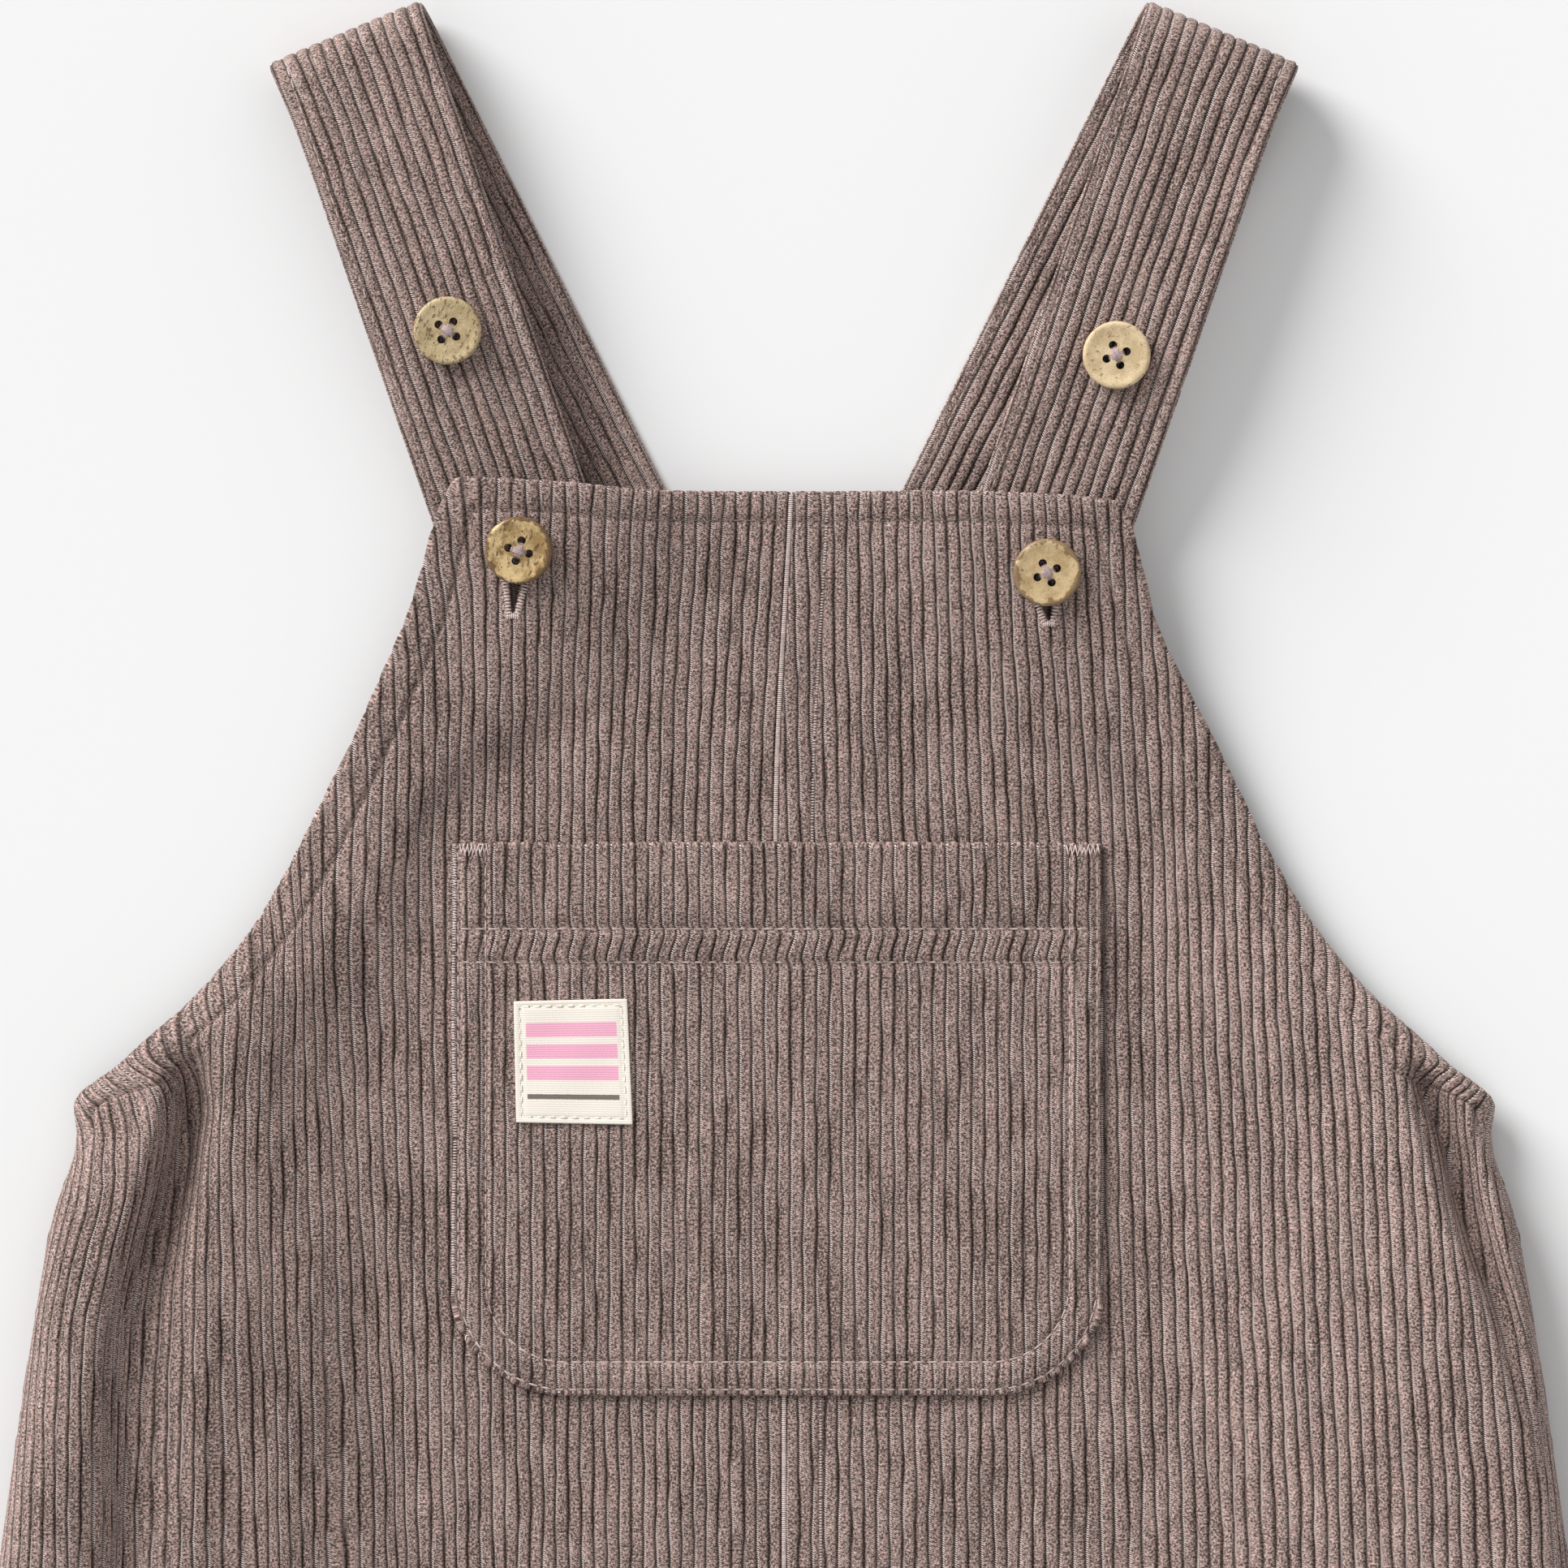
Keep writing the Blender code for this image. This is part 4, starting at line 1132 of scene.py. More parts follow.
def seam_ladder(half):
    """The light threads that show where the two halves of the front are joined."""
    groups = []
    for low, high in ((HEM_Y + 2 * MM, POCKET_BOTTOM_Y + 3 * MM),
                      (POCKET_TOP_Y, BIB_TOP_Y - 1 * MM)):
        y = np.linspace(low, high, 500)
        x = through(SEAM_LINE, y)
        points = stack(x, y + bib_rise(x, y), front_height(x, y) + 0.16 * MM)
        normal = surface_normals(half.place, 1 * MM + 0 * y, y, half.side)
        groups.append(ladder(points, normal, 1.2 * MM, 0.48 * MM, 0.21 * MM, missing=0))
        base, normal = half.surface(SEAM_TOPSTITCH + 0 * y, y)[:2]
        groups.append(ladder(base + normal * 0.62 * MM, normal, 0.8 * MM, seed=7))
    return groups


def buttonhole_stitches(side):
    """Satin stitches along both edges of a buttonhole, and a bar across its foot."""
    (top_x, top_y), top_half, (foot_x, foot_y), foot_half = BUTTONHOLES[side]

    def laid(x, y, ahead, radius):
        x, y = x * MM, y * MM
        centres = stack(x, y, front_height(x, y - bib_rise(x, y)) + 0.14 * MM)
        ups = np.broadcast_to(UP, centres.shape)
        return centres, unit(ahead), ups, 1.6 * MM, radius, 0.18 * MM

    groups = []
    for edge in (-1, 1):
        start = np.array([top_x + edge * top_half, top_y])
        reach = np.array([foot_x + edge * foot_half, foot_y]) - start
        count = int(np.linalg.norm(reach) / 0.68)
        spots = start + np.linspace(0, 1, count)[:, None] * reach
        lean = np.where(np.arange(count) % 2, 0.12, -0.12)[:, None]
        ahead = np.array([reach[1], -reach[0], 0.0]) + lean * np.array([*reach, 0.0])
        groups.append(laid(*spots.T, ahead, 0.23 * MM))
    across = np.linspace(-1.2, 1.2, 6)
    bar = np.repeat([[0.08, 1.0, 0.0]], 6, 0)
    groups.append(laid(foot_x + across, foot_y + 0.1 * np.cos(3 * across), bar, 0.21 * MM))
    return groups


def pocket_stitches():
    """Two lines round the pocket and two along its hem."""
    straight = np.linspace(POCKET_TOP_Y - 2 * MM, POCKET_KNEE, 90)
    turns = np.linspace(0, math.pi / 2, 40)
    along = np.linspace(POCKET_LEFT + 2 * MM, POCKET_RIGHT - 2 * MM, 200)
    lines = []
    for line in POCKET_SIDE_LINES:
        radius = POCKET_CORNER - line
        across, down = radius * np.cos(turns), radius * np.sin(turns)
        x = np.concatenate([0 * straight + POCKET_LEFT + line,
                            POCKET_LEFT + POCKET_CORNER - across,
                            POCKET_RIGHT - POCKET_CORNER + down,
                            0 * straight + POCKET_RIGHT - line])
        y = np.concatenate([straight, POCKET_KNEE - down, POCKET_KNEE - across, straight[::-1]])
        lines.append((x, y))
    lines += [(along, POCKET_TOP_Y - line + 0 * along) for line in POCKET_HEM_LINES]
    return [run_stitches(pocket_surface(*line), POCKET_THREAD_LIFT) for line in lines]


# x from and to, and y from and to (mm)
BARTACKS = ((67.2, 74.6, 77.8, 80.4), (-76.6, -70.4, 77.8, 80.6))


def bartack(x0, x1, y0, y1):
    """A close zigzag of thread across a pocket corner, from its limits in mm."""
    turn = np.arange(15)
    x = np.linspace(x0, x1, len(turn))
    y = (y0 + y1) / 2 + 0.35 * np.sin(2.3 * turn)
    base, normal, _ = pocket_surface(x * MM, y * MM)
    ahead = unit(stack(np.where(turn % 2, 0.34, -0.20), 1.0, 0.0))
    return base + normal * 0.9 * MM, ahead, normal, (y1 - y0) * MM, 0.17 * MM, 0.3 * MM


def pocket_edge_ladder():
    """The light weave that shows where the pocket's left side is folded under."""
    y = np.linspace(POCKET_TOP_Y - 3 * MM, POCKET_KNEE + 2 * MM, 300)
    x = POCKET_LEFT + (0.75 + 0.25 * np.sin(y / (9 * MM))) * MM
    base, normal, _ = pocket_surface(x, y)
    return ladder(base + normal * 0.5 * MM, normal, 0.95 * MM, seed=9)


def strap_stitches(side):
    """Two lines along each face of a strap."""
    flip = np.array([-side, 1, 1])
    groups = []
    for across in (-STRAP_STITCHES, STRAP_STITCHES):
        end = float(strap_end(np.array(across)))
        runs = np.linspace(-STRAP_FRONT_LENGTH + 1 * MM, end - 1 * MM, 500)
        normal = strap_normal(runs, across + 0 * runs)
        middle = strap_outer(runs, across + 0 * runs) - normal * STRAP_THICKNESS / 2
        for face in (1, -1):
            line = middle * flip, face * normal * flip
            groups.append(run_stitches(line, STRAP_CORE + 0.24 * MM))
    return groups


# ---- Materials ----


class Nodes:
    """A short way to write a material's nodes."""

    def __init__(self, name):
        self.material = bpy.data.materials.new(name)
        self.material.use_nodes = True
        self.tree = self.material.node_tree
        self.shader = self.tree.nodes["Principled BSDF"]

    def put(self, socket, value):
        if hasattr(value, "is_output"):
            self.tree.links.new(value, socket)
        else:
            socket.default_value = value

    def node(self, kind, *values):
        """A node with these values or links on its first sockets."""
        node = self.tree.nodes.new(kind)
        for socket, value in zip(node.inputs, values):
            self.put(socket, value)
        return node

    def math(self, operation, *values):
        node = self.node("ShaderNodeMath", *values)
        node.operation = operation
        return node.outputs[0]

    def plus(self, *values):
        return self.math("ADD", *values)

    def minus(self, *values):
        return self.math("SUBTRACT", *values)

    def times(self, *values):
        return self.math("MULTIPLY", *values)

    def size(self, value):
        return self.math("ABSOLUTE", value)

    def wave(self, value):
        return self.math("SINE", value)

    def swing(self, value, size):
        """Turns a noise of 0..1 into one around 0."""
        return self.times(self.minus(value, 0.5), size)

    def vector(self, operation, *values):
        node = self.node("ShaderNodeVectorMath", *values)
        node.operation = operation
        return node.outputs

    def ramp(self, value, low, high, start=0.0, end=1.0):
        """Takes value from low..high to start..end, smoothly."""
        node = self.node("ShaderNodeMapRange", value, low, high, start, end)
        node.interpolation_type = "SMOOTHSTEP"
        return node.outputs[0]

    def mix(self, share, first, second, blend="MIX"):
        node = self.node("ShaderNodeMix")
        node.data_type = "RGBA"
        node.blend_type = blend
        self.put(node.inputs["Factor"], share)
        self.put(node.inputs["A"], first)
        self.put(node.inputs["B"], second)
        return node.outputs["Result"]

    def tint(self, first, second):
        """One colour or vector times another."""
        return self.mix(1.0, first, second, "MULTIPLY")

    def shade(self, colour, value):
        """A colour times one value."""
        return self.tint(colour, self.join(value, value, value))

    def join(self, x, y, z=0.0):
        return self.node("ShaderNodeCombineXYZ", x, y, z).outputs[0]

    def noise(self, vector, scale, detail=2.0, rough=0.5):
        node = self.node("ShaderNodeTexNoise", vector)
        node.inputs["Scale"].default_value = scale
        node.inputs["Detail"].default_value = detail
        node.inputs["Roughness"].default_value = rough
        return node.outputs["Fac"]

    def cloth(self):
        """The three parts of the mesh's cloth coordinates."""
        node = self.node("ShaderNodeAttribute")
        node.attribute_name = "cloth"
        return self.node("ShaderNodeSeparateXYZ", node.outputs["Vector"]).outputs

    def bump(self, height, distance, strength=1.0):
        node = self.node("ShaderNodeBump")
        node.inputs["Strength"].default_value = strength
        node.inputs["Distance"].default_value = distance
        self.put(node.inputs["Height"], height)
        self.put(self.shader.inputs["Normal"], node.outputs[0])

    def finish(self, colour, roughness, **settings):
        self.put(self.shader.inputs["Base Color"], colour)
        self.put(self.shader.inputs["Roughness"], roughness)
        for name, value in settings.items():
            self.put(self.shader.inputs[name.replace("_", " ")], value)
        return self.material


def corduroy_material(name, sizes):
    """Cotton pile: rounded cords, painted shade in the grooves, twill specks, a soft nap and a
    painted highlight on one flank of each cord.
    """
    n = Nodes(name)
    number, along, height = n.cloth()
    along = n.times(along, 1000.0)
    across = n.times(number, sizes.wale_pitch * 1000)
    flat = n.join(across, along)
    phase = n.math("FRACT", number)
    middle = n.size(n.minus(phase, 0.5))
    tuft = n.noise(flat, 2.0, 1.0, 0.6)
    clump = n.noise(flat, 0.95, 2.0, 0.6)
    parting = n.noise(n.join(across, n.times(along, 0.15)), 0.28, 2.0, 0.6)
    wander = n.plus(n.swing(clump, 0.42), n.swing(parting, 0.12))
    crown = n.ramp(n.plus(middle, wander), 0.495, 0.26)
    # Ground weave that shows on one flank of each cord, where the pile parts
    rungs = n.wave(n.times(n.plus(along, n.times(across, 0.5)), 12.0))
    beside = n.math("FRACT", n.plus(number, 0.04))
    flank = n.times(n.ramp(beside, 0.0, 0.06), n.ramp(beside, 0.28, 0.15))
    parted = n.ramp(n.noise(n.join(across, n.times(along, 0.12)), 0.4, 1.0), 0.42, 0.55)
    rung = n.times(n.times(flank, n.ramp(rungs, -0.2, 0.5)), parted)
    patches = n.noise(n.join(across, n.times(along, 0.35)), 0.09, 3.0, 0.6)
    broad = n.noise(flat, 0.022, 2.0)
    mottle = n.noise(n.join(across, n.times(along, 0.6)), 0.3, 2.0, 0.6)
    nap = n.plus(n.ramp(patches, 0.3, 0.7, -0.17, 0.15), n.ramp(broad, 0.35, 0.65, -0.05, 0.05))
    value = n.plus(n.ramp(mottle, 0.32, 0.68, 0.87, 1.13), nap)
    # Painted highlight: lean paints one flank of each cord lighter, the right one, but the left one
    # on the dress's right side
    lean = n.plus(n.ramp(number, 22.0, 38.0, 0.10, -0.08), n.ramp(number, -38.0, -12.0, 0.14, 0.0))
    value = n.plus(value, n.times(lean, n.ramp(phase, 0.35, 0.72, -1.0, 1.0)))
    # Painted sheen: the middle of each crown is painted a little darker and its sides a little
    # lighter
    value = n.plus(value, n.ramp(middle, 0.04, 0.20, -0.03, 0.03))
    for speckle, strength in ((tuft, 5.2), (clump, 2.3)):
        value = n.plus(value, n.swing(speckle, strength))
    value = n.math("MAXIMUM", value, 0.25)
    warm = n.ramp(n.noise(flat, 0.55, 2.0, 0.6), 0.35, 0.65)
    # Painted shade: the grooves, and the cloth sunk at stitches, take the dark groove colour
    sunk = n.times(crown, n.ramp(height, 0.0, 0.45, 0.75, 1.0))
    lit = n.mix(sunk, (*sizes.groove_shade_colour, 1), (*sizes.cord_colour, 1))
    lit = n.tint(lit, n.mix(warm, (1.03, 0.985, 0.985, 1), (0.97, 1.015, 1.01, 1)))
    colour = n.shade(lit, value)
    colour = n.mix(n.times(rung, 0.9), colour, (*sizes.weave_colour, 1))
    # Painted shade inside the open buttonholes, whose height is below 0
    colour = n.shade(colour, n.ramp(height, -0.9, -0.05, 0.36, 1.0))
    fibres = n.plus(n.times(tuft, 0.7), n.times(n.noise(flat, 6.0, 2.0, 0.7), 0.3))
    n.bump(n.plus(fibres, n.times(rung, 0.3)), 0.5 * MM, 0.8)
    return n.finish(
        colour, 0.95, Sheen_Weight=0.22, Sheen_Roughness=0.45,
        Sheen_Tint=(0.86, 0.74, 0.70, 1), Specular_IOR_Level=0.15,
    )


def thread_material(name, colour):
    """Sewing thread: a matt twist, lighter where it is worn."""
    n = Nodes(name)
    place = n.node("ShaderNodeNewGeometry").outputs["Position"]
    shade = n.shade((*colour, 1), n.ramp(n.noise(place, 900.0, 2.0), 0.3, 0.7, 0.82, 1.18))
    n.bump(n.noise(place, 5000.0, 1.0), 0.05 * MM, 0.6)
    return n.finish(shade, 0.8, Sheen_Weight=0.2, Sheen_Roughness=0.5, Specular_IOR_Level=0.2)


def label_material(name, sizes):
    """Ribbed cotton with plain woven stripes, placed in mm down from its top edge."""
    n = Nodes(name)
    x, y, border = (n.times(part, 1000.0) for part in list(n.cloth()))
    down = n.plus(y, LABEL_SIZE[1] * 500)
    weave = n.noise(n.join(x, n.times(y, 3.0)), 2.2, 2.0)
    down = n.plus(down, n.swing(weave, 0.25))
    inside = n.ramp(n.size(x), 11.2, 11.0)
    colour = (*sizes.label_colour, 1)
    for start, end, shade in (
        (5.2, 8.6, sizes.stripe_colour), (10.4, 13.8, sizes.stripe_colour),
        (15.6, 19.0, sizes.stripe_colour), (22.4, 23.6, sizes.line_colour),
    ):
        half = (end - start) / 2
        off = n.size(n.minus(down, (start + end) / 2))
        cover = n.times(n.ramp(off, half + 0.08, half - 0.08), inside)
        colour = n.mix(n.times(cover, 0.94), colour, (*shade, 1))
    rib = n.wave(n.times(y, math.tau / 0.55))
    # Painted shade: each rib is painted a little lighter and darker across its width
    colour = n.shade(colour, n.plus(n.ramp(weave, 0.2, 0.8, 0.90, 1.05), n.times(rib, 0.045)))
    # Painted shade: short dark marks along the line of the running stitches, where the thread dips
    # into the cloth
    off = n.size(n.minus(border, LABEL_STITCH_IN / MM))
    gaps = n.math("MAXIMUM", *(n.wave(n.times(run, math.tau / 2.7)) for run in (x, y)))
    marks = n.times(n.ramp(off, 0.32, 0.12), n.ramp(gaps, 0.80, 0.93))
    colour = n.mix(n.times(marks, 0.9), colour, (*sizes.stitch_shade_colour, 1))
    n.bump(n.plus(weave, n.times(rib, 0.4)), 0.08 * MM, 0.5)
    return n.finish(colour, 0.85, Sheen_Weight=0.1, Specular_IOR_Level=0.25)


def coconut_material(name, light, dark, rim, spots, bark, gloss, seed):
    """Polished shell: tan and flecked, with darker bark left at the rim.

    spots: share of dark flecks. bark: how far in (mm) the bark reaches.
    """
    n = Nodes(name)
    place = n.node("ShaderNodeTexCoord").outputs["Object"]
    flat = n.tint(place, (1, 1, 0, 1))
    at = n.vector("ADD", place, (seed, seed * 0.37, 0))[0]
    cloud = n.noise(at, 260.0, 4.0, 0.6)
    turned = n.node("ShaderNodeVectorRotate", at)
    turned.rotation_type = "Z_AXIS"
    turned.inputs["Angle"].default_value = 0.7
    fleck = n.noise(n.tint(turned.outputs[0], (1.0, 0.45, 1.0, 1)), 1150.0, 3.0, 0.7)
    grain = n.noise(at, 3200.0, 2.0, 0.6)
    colour = n.mix(n.ramp(cloud, 0.38, 0.62), (*light, 1), (*dark, 1))
    colour = n.mix(n.times(n.ramp(fleck, 0.62 - spots, 0.68 - spots), 0.8), colour, (*rim, 1))
    away = n.plus(n.vector("LENGTH", flat)["Value"], n.swing(cloud, 7 * MM))
    inner = BUTTON_RADIUS - bark * MM
    colour = n.mix(n.times(n.ramp(away, inner, inner + 0.35 * MM), 0.7), colour, (*rim, 1))
    colour = n.shade(colour, n.ramp(grain, 0.25, 0.75, 0.84, 1.14))
    n.bump(n.plus(fleck, n.times(grain, 0.3)), 0.12 * MM, 0.35)
    # Painted shade inside the four holes
    corner = BUTTON_HOLE_RING / math.sqrt(2)
    quarter = n.vector("ABSOLUTE", flat)[0]
    off = n.vector("DISTANCE", quarter, (corner, corner, 0))["Value"]
    hole_shade = n.ramp(off, BUTTON_HOLE * 1.10, BUTTON_HOLE * 0.98)
    colour = n.mix(hole_shade, colour, (0.02, 0.01, 0.005, 1))
    return n.finish(colour, gloss, Specular_IOR_Level=0.5)


# ---- Settings ----

Colour = partial(FloatVectorProperty, min=0, max=1, subtype="COLOR")


class PinaforeSizes(PropertyGroup):
    """The cords' sizes and the colours of cloth, thread and label"""

    wale_pitch: FloatProperty(name="Cord spacing", description="Distance from one cord to the next",
                              default=3.06 * MM, min=1 * MM, max=8 * MM, subtype="DISTANCE")
    wale_height: FloatProperty(name="Cord height", description="Height of a cord above its groove",
                               default=0.85 * MM, min=0.1 * MM, max=2 * MM, subtype="DISTANCE")
    cord_colour: Colour(name="Cords", description="Colour of the cords' crowns",
                        default=(0.315, 0.227, 0.202))
    # Painted shade: the grooves' dark colour stands for the shade between the cords
    groove_shade_colour: Colour(name="Grooves", description="Colour between the cords",
                          default=(0.066, 0.045, 0.038))
    weave_colour: Colour(name="Ground weave", description="Colour of the weave beside the cords",
                         default=(0.93, 0.78, 0.74))
    seam_weave_colour: Colour(name="Seam weave",
                              description="Colour of the weave at the centre seam",
                              default=(0.66, 0.535, 0.50))
    seam_colour: Colour(name="Sunk thread", description="Colour of thread sunk in the pile",
                        default=(0.27, 0.195, 0.175))
    thread_colour: Colour(name="Thread", description="Colour of the sewing thread",
                          default=(0.58, 0.46, 0.43))
    bartack_colour: Colour(name="Bartacks", description="Colour of the heavier thread",
                           default=(0.68, 0.54, 0.505))
    button_thread_colour: Colour(name="Button thread", description="Colour of the buttons' thread",
                                 default=(0.50, 0.38, 0.38))
    label_colour: Colour(name="Label", description="Colour of the cotton patch",
                         default=(0.945, 0.875, 0.775))
    # Painted shade: the dark colour of the marks beside the patch's stitches
    stitch_shade_colour: Colour(name="Label stitch marks",
                          description="Colour beside the patch's stitches",
                          default=(0.25, 0.20, 0.145))
    stripe_colour: Colour(name="Label stripes", description="Colour of the patch's wide stripes",
                          default=(0.93, 0.44, 0.60))
    line_colour: Colour(name="Label line", description="Colour of the patch's thin stripe",
                        default=(0.17, 0.13, 0.11))


class PinaforeStudio(PropertyGroup):
    """The camera, the floor and the light"""

    lens: FloatProperty(name="Lens", description="Camera's focal length in mm",
                        default=174.0, min=20, max=400)
    frame_width: FloatProperty(name="View width", description="Width seen where the dress lies",
                               default=371.5 * MM, min=0.05, max=2, subtype="DISTANCE")
    floor_colour: Colour(name="Floor", description="Colour of the floor",
                         default=(0.90, 0.90, 0.90))
    key: FloatProperty(name="Key light",
                       description="Strength of the soft light from the upper left",
                       default=3.62, min=0, max=20)
    fill: FloatProperty(name="Fill light", description="Strength of the light from all round",
                        default=0.53, min=0, max=5)


# ---- Operators ----


class PINAFORE_OT_front(Operator):
    """Makes both halves of the front"""

    bl_idname = "pinafore.front"
    bl_label = "Front halves"

    def execute(self, context):
        sizes = context.scene.pinafore_sizes
        for name, node, side in (("front_left_cloth", "front_panel_left", -1),
                                 ("front_right_cloth", "front_panel_right", 1)):
            half = FrontHalf(side, sizes.wale_pitch, sizes.wale_height)
            piece = lay_piece(name, front_mesh(name, half), "corduroy_cloth", node)
            half.lay.cut_size()
            half.lay.cut_area()
        return {"FINISHED"}


class PINAFORE_OT_back(Operator):
    """Makes the back panel"""

    bl_idname = "pinafore.back"
    bl_label = "Back"

    def execute(self, context):
        sizes = context.scene.pinafore_sizes
        mesh = back_mesh("back_cloth", sizes.wale_pitch, sizes.wale_height)
        piece = lay_piece("back_cloth", mesh, "corduroy_cloth", "back_panel")
        for name, side in (("side_seam_left", -1), ("side_seam_right", 1)):
            lay_piece(name, side_seam_mesh(name, side), "corduroy_cloth")
        return {"FINISHED"}


class PINAFORE_OT_straps(Operator):
    """Makes both straps with their edge stitching"""

    bl_idname = "pinafore.straps"
    bl_label = "Straps"

    def execute(self, context):
        length = STRAP_FRONT_LENGTH + float(strap_end(np.array(0.0)))
        for name, node, side in (("strap_left_cloth", "strap_left", -1),
                                 ("strap_right_cloth", "strap_right", 1)):
            mesh = strap_mesh(name, side, 41 + side)
            piece = lay_piece(name, mesh, "corduroy_cloth", node)
            stitches = thread_piece(node + "_stitches", strap_stitches(side), "sewing_thread")
        return {"FINISHED"}


class PINAFORE_OT_pocket(Operator):
    """Makes the patch pocket with its stitching"""

    bl_idname = "pinafore.pocket"
    bl_label = "Pocket"

    def execute(self, context):
        sizes = context.scene.pinafore_sizes
        mesh = pocket_mesh("pocket_cloth", sizes.wale_pitch, sizes.wale_height)
        piece = lay_piece("pocket_cloth", mesh, "corduroy_cloth", "pocket")
        stitches = thread_piece("pocket_stitches", pocket_stitches(), "sewing_thread")
        corners = [bartack(*limits) for limits in BARTACKS]
        tacks = thread_piece("pocket_bartacks", corners, "bartack_thread")
        weave = thread_piece("pocket_edge_weave", [pocket_edge_ladder()], "bartack_thread")
        return {"FINISHED"}


class PINAFORE_OT_label(Operator):
    """Makes the cotton patch on the pocket"""

    bl_idname = "pinafore.label"
    bl_label = "Label patch"

    def execute(self, context):
        sizes = context.scene.pinafore_sizes
        label_material("ribbed_cotton", sizes)
        thread_material("label_thread", sizes.label_colour)
        mesh = label_mesh("label_cloth")
        piece = lay_piece("label_cloth", mesh, "ribbed_cotton", "label_patch", slot="label_cotton")
        stitches = thread_piece("label_stitches", label_stitches(), "label_thread", "label_cotton")
        return {"FINISHED"}


class PINAFORE_OT_buttons(Operator):
    """Makes the four buttons and the thread that crosses them"""

    bl_idname = "pinafore.buttons"
    bl_label = "Buttons"

    def execute(self, context):
        mesh = button_mesh("button")
        for name, (node, (x, y), turn, *finish) in BUTTONS.items():
            surface = strap_height if "strap" in name else front_height
            foot, normal = seat((x * MM, y * MM), surface)
            upright = Vector(UP).rotation_difference(normal).to_matrix().to_4x4()
            spin = Matrix.Rotation(math.radians(turn), 4, "Z")
            coconut_material(*finish)
            button = lay_piece(name, mesh.copy(), finish[0], node, slot="coconut_shell",
                               place=Matrix.Translation(foot) @ upright @ spin)
            groups = button_threads(np.array(button.matrix_world))
            thread_piece(name + "_thread", groups, "button_thread")
        return {"FINISHED"}


class PINAFORE_OT_topstitching(Operator):
    """Sews the front's topstitching"""

    bl_idname = "pinafore.topstitching"
    bl_label = "Topstitching"

    def execute(self, context):
        sizes = context.scene.pinafore_sizes
        for name, side in (("left", -1), ("right", 1)):
            half = FrontHalf(side, sizes.wale_pitch, sizes.wale_height)
            thread_piece(f"front_{name}_stitches", front_stitches(half), "sunk_thread")
            holes = buttonhole_stitches(side)
            thread_piece(f"buttonhole_{name}_stitches", holes, "bartack_thread")
        thread_piece("front_seam_weave", seam_ladder(half), "seam_weave")
        return {"FINISHED"}


class PINAFORE_OT_finishes(Operator):
    """Mixes the finishes that several pieces share"""

    bl_idname = "pinafore.finishes"
    bl_label = "Shared finishes"

    def execute(self, context):
        sizes = context.scene.pinafore_sizes
        corduroy_material("corduroy_cloth", sizes)
        for name, colour in (
            ("sewing_thread", sizes.thread_colour), ("sunk_thread", sizes.seam_colour),
            ("bartack_thread", sizes.bartack_colour), ("seam_weave", sizes.seam_weave_colour),
            ("button_thread", sizes.button_thread_colour),
        ):
            thread_material(name, colour)
        return {"FINISHED"}


FLOOR_REACH = 60.0
FLOOR_Z = -0.05 * MM
KEY_FROM = Vector((-0.62, 0.62, 0.42))
KEY_SOFTNESS = math.radians(34)
# The tone that the camera sees beyond the floor
BACKDROP = (0.913, 0.913, 0.913, 1)
SENSOR_WIDTH = 36.0
VIEW_CENTRE = Vector((0.0, 94.8 * MM, 8 * MM))


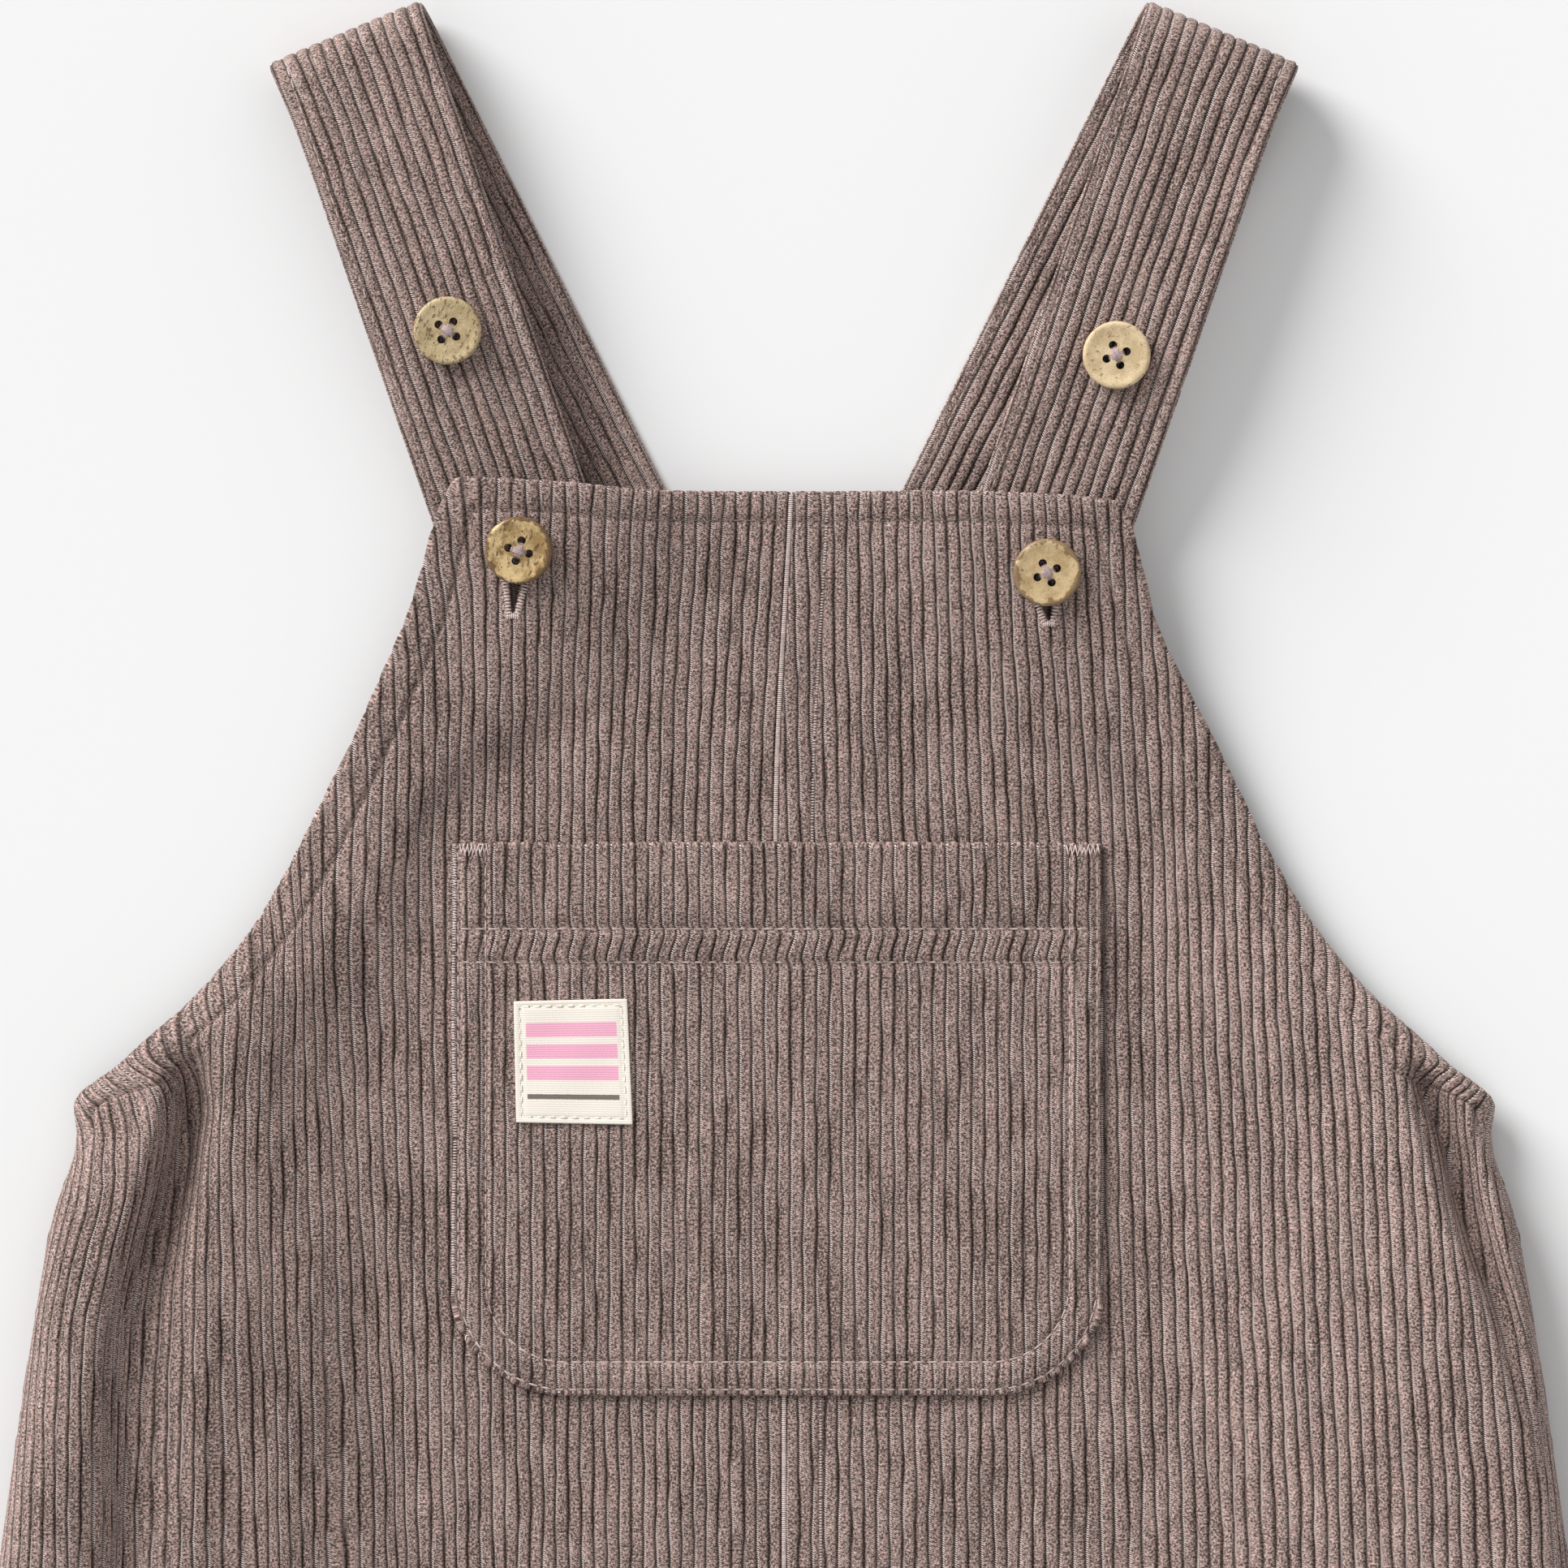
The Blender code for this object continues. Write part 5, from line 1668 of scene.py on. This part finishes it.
class PINAFORE_OT_stage(Operator):
    """Lays the floor, hangs the lights and sets up the camera"""

    bl_idname = "pinafore.stage"
    bl_label = "Floor, light and camera"

    def execute(self, context):
        studio = context.scene.pinafore_studio
        scene = context.scene
        mesh = bpy.data.meshes.new("floor")
        corners = [(x * FLOOR_REACH, y * FLOOR_REACH, 0)
                   for x, y in ((-1, -1), (1, -1), (1, 1), (-1, 1))]
        mesh.from_pydata(corners, [], [(0, 1, 2, 3)])
        floor = bpy.data.objects.new("floor", mesh)
        floor.location.z = FLOOR_Z
        scene.collection.objects.link(floor)
        paper = Nodes("floor_paper")
        mesh.materials.append(paper.finish((*studio.floor_colour, 1), 0.9, Specular_IOR_Level=0.0))
        sun = bpy.data.lights.new("key_light", "SUN")
        sun.energy = studio.key
        sun.angle = KEY_SOFTNESS
        key = bpy.data.objects.new("key_light", sun)
        key.rotation_euler = KEY_FROM.to_track_quat("Z", "Y").to_euler()
        scene.collection.objects.link(key)
        world = bpy.data.worlds.new("studio")
        scene.world = world
        world.use_nodes = True
        tree = world.node_tree
        light = tree.nodes["Background"]
        light.inputs["Color"].default_value = (1, 1, 1, 1)
        light.inputs["Strength"].default_value = studio.fill
        pale = tree.nodes.new("ShaderNodeBackground")
        pale.inputs["Color"].default_value = BACKDROP
        path = tree.nodes.new("ShaderNodeLightPath")
        mix = tree.nodes.new("ShaderNodeMixShader")
        for start, end in ((path.outputs["Is Camera Ray"], mix.inputs[0]),
                           (light.outputs[0], mix.inputs[1]), (pale.outputs[0], mix.inputs[2]),
                           (mix.outputs[0], tree.nodes["World Output"].inputs[0])):
            tree.links.new(start, end)
        lens = bpy.data.cameras.new("camera")
        lens.lens = studio.lens
        lens.sensor_width = SENSOR_WIDTH
        camera = bpy.data.objects.new("camera", lens)
        away = studio.frame_width * studio.lens / SENSOR_WIDTH
        camera.location = VIEW_CENTRE + Vector((0, 0, away))
        scene.collection.objects.link(camera)
        scene.camera = camera
        scene.view_settings.view_transform = "Standard"
        return {"FINISHED"}


class PINAFORE_PT_sidebar(Panel):
    """Lists the settings and the steps"""

    bl_label = "Pinafore dress"
    bl_idname = "PINAFORE_PT_sidebar"
    bl_space_type = "VIEW_3D"
    bl_region_type = "UI"
    bl_category = "Pinafore"

    def draw(self, context):
        layout = self.layout
        for group in (context.scene.pinafore_sizes, context.scene.pinafore_studio):
            box = layout.box()
            for name in group.__annotations__:
                box.prop(group, name)
        for operator in STEPS:
            layout.operator(operator.bl_idname)


STEPS = (
    PINAFORE_OT_finishes, PINAFORE_OT_front, PINAFORE_OT_back, PINAFORE_OT_straps,
    PINAFORE_OT_pocket, PINAFORE_OT_label, PINAFORE_OT_buttons,
    PINAFORE_OT_topstitching, PINAFORE_OT_stage,
)
CLASSES = (PinaforeSizes, PinaforeStudio, *STEPS, PINAFORE_PT_sidebar)


def register():
    for each in CLASSES:
        bpy.utils.register_class(each)
    bpy.types.Scene.pinafore_sizes = PointerProperty(type=PinaforeSizes)
    bpy.types.Scene.pinafore_studio = PointerProperty(type=PinaforeStudio)


def unregister():
    del bpy.types.Scene.pinafore_studio
    del bpy.types.Scene.pinafore_sizes
    for each in reversed(CLASSES):
        bpy.utils.unregister_class(each)


def main():
    register()
    for step in STEPS:
        group, name = step.bl_idname.split(".")
        getattr(getattr(bpy.ops, group), name)()


if __name__ == "__main__":
    main()
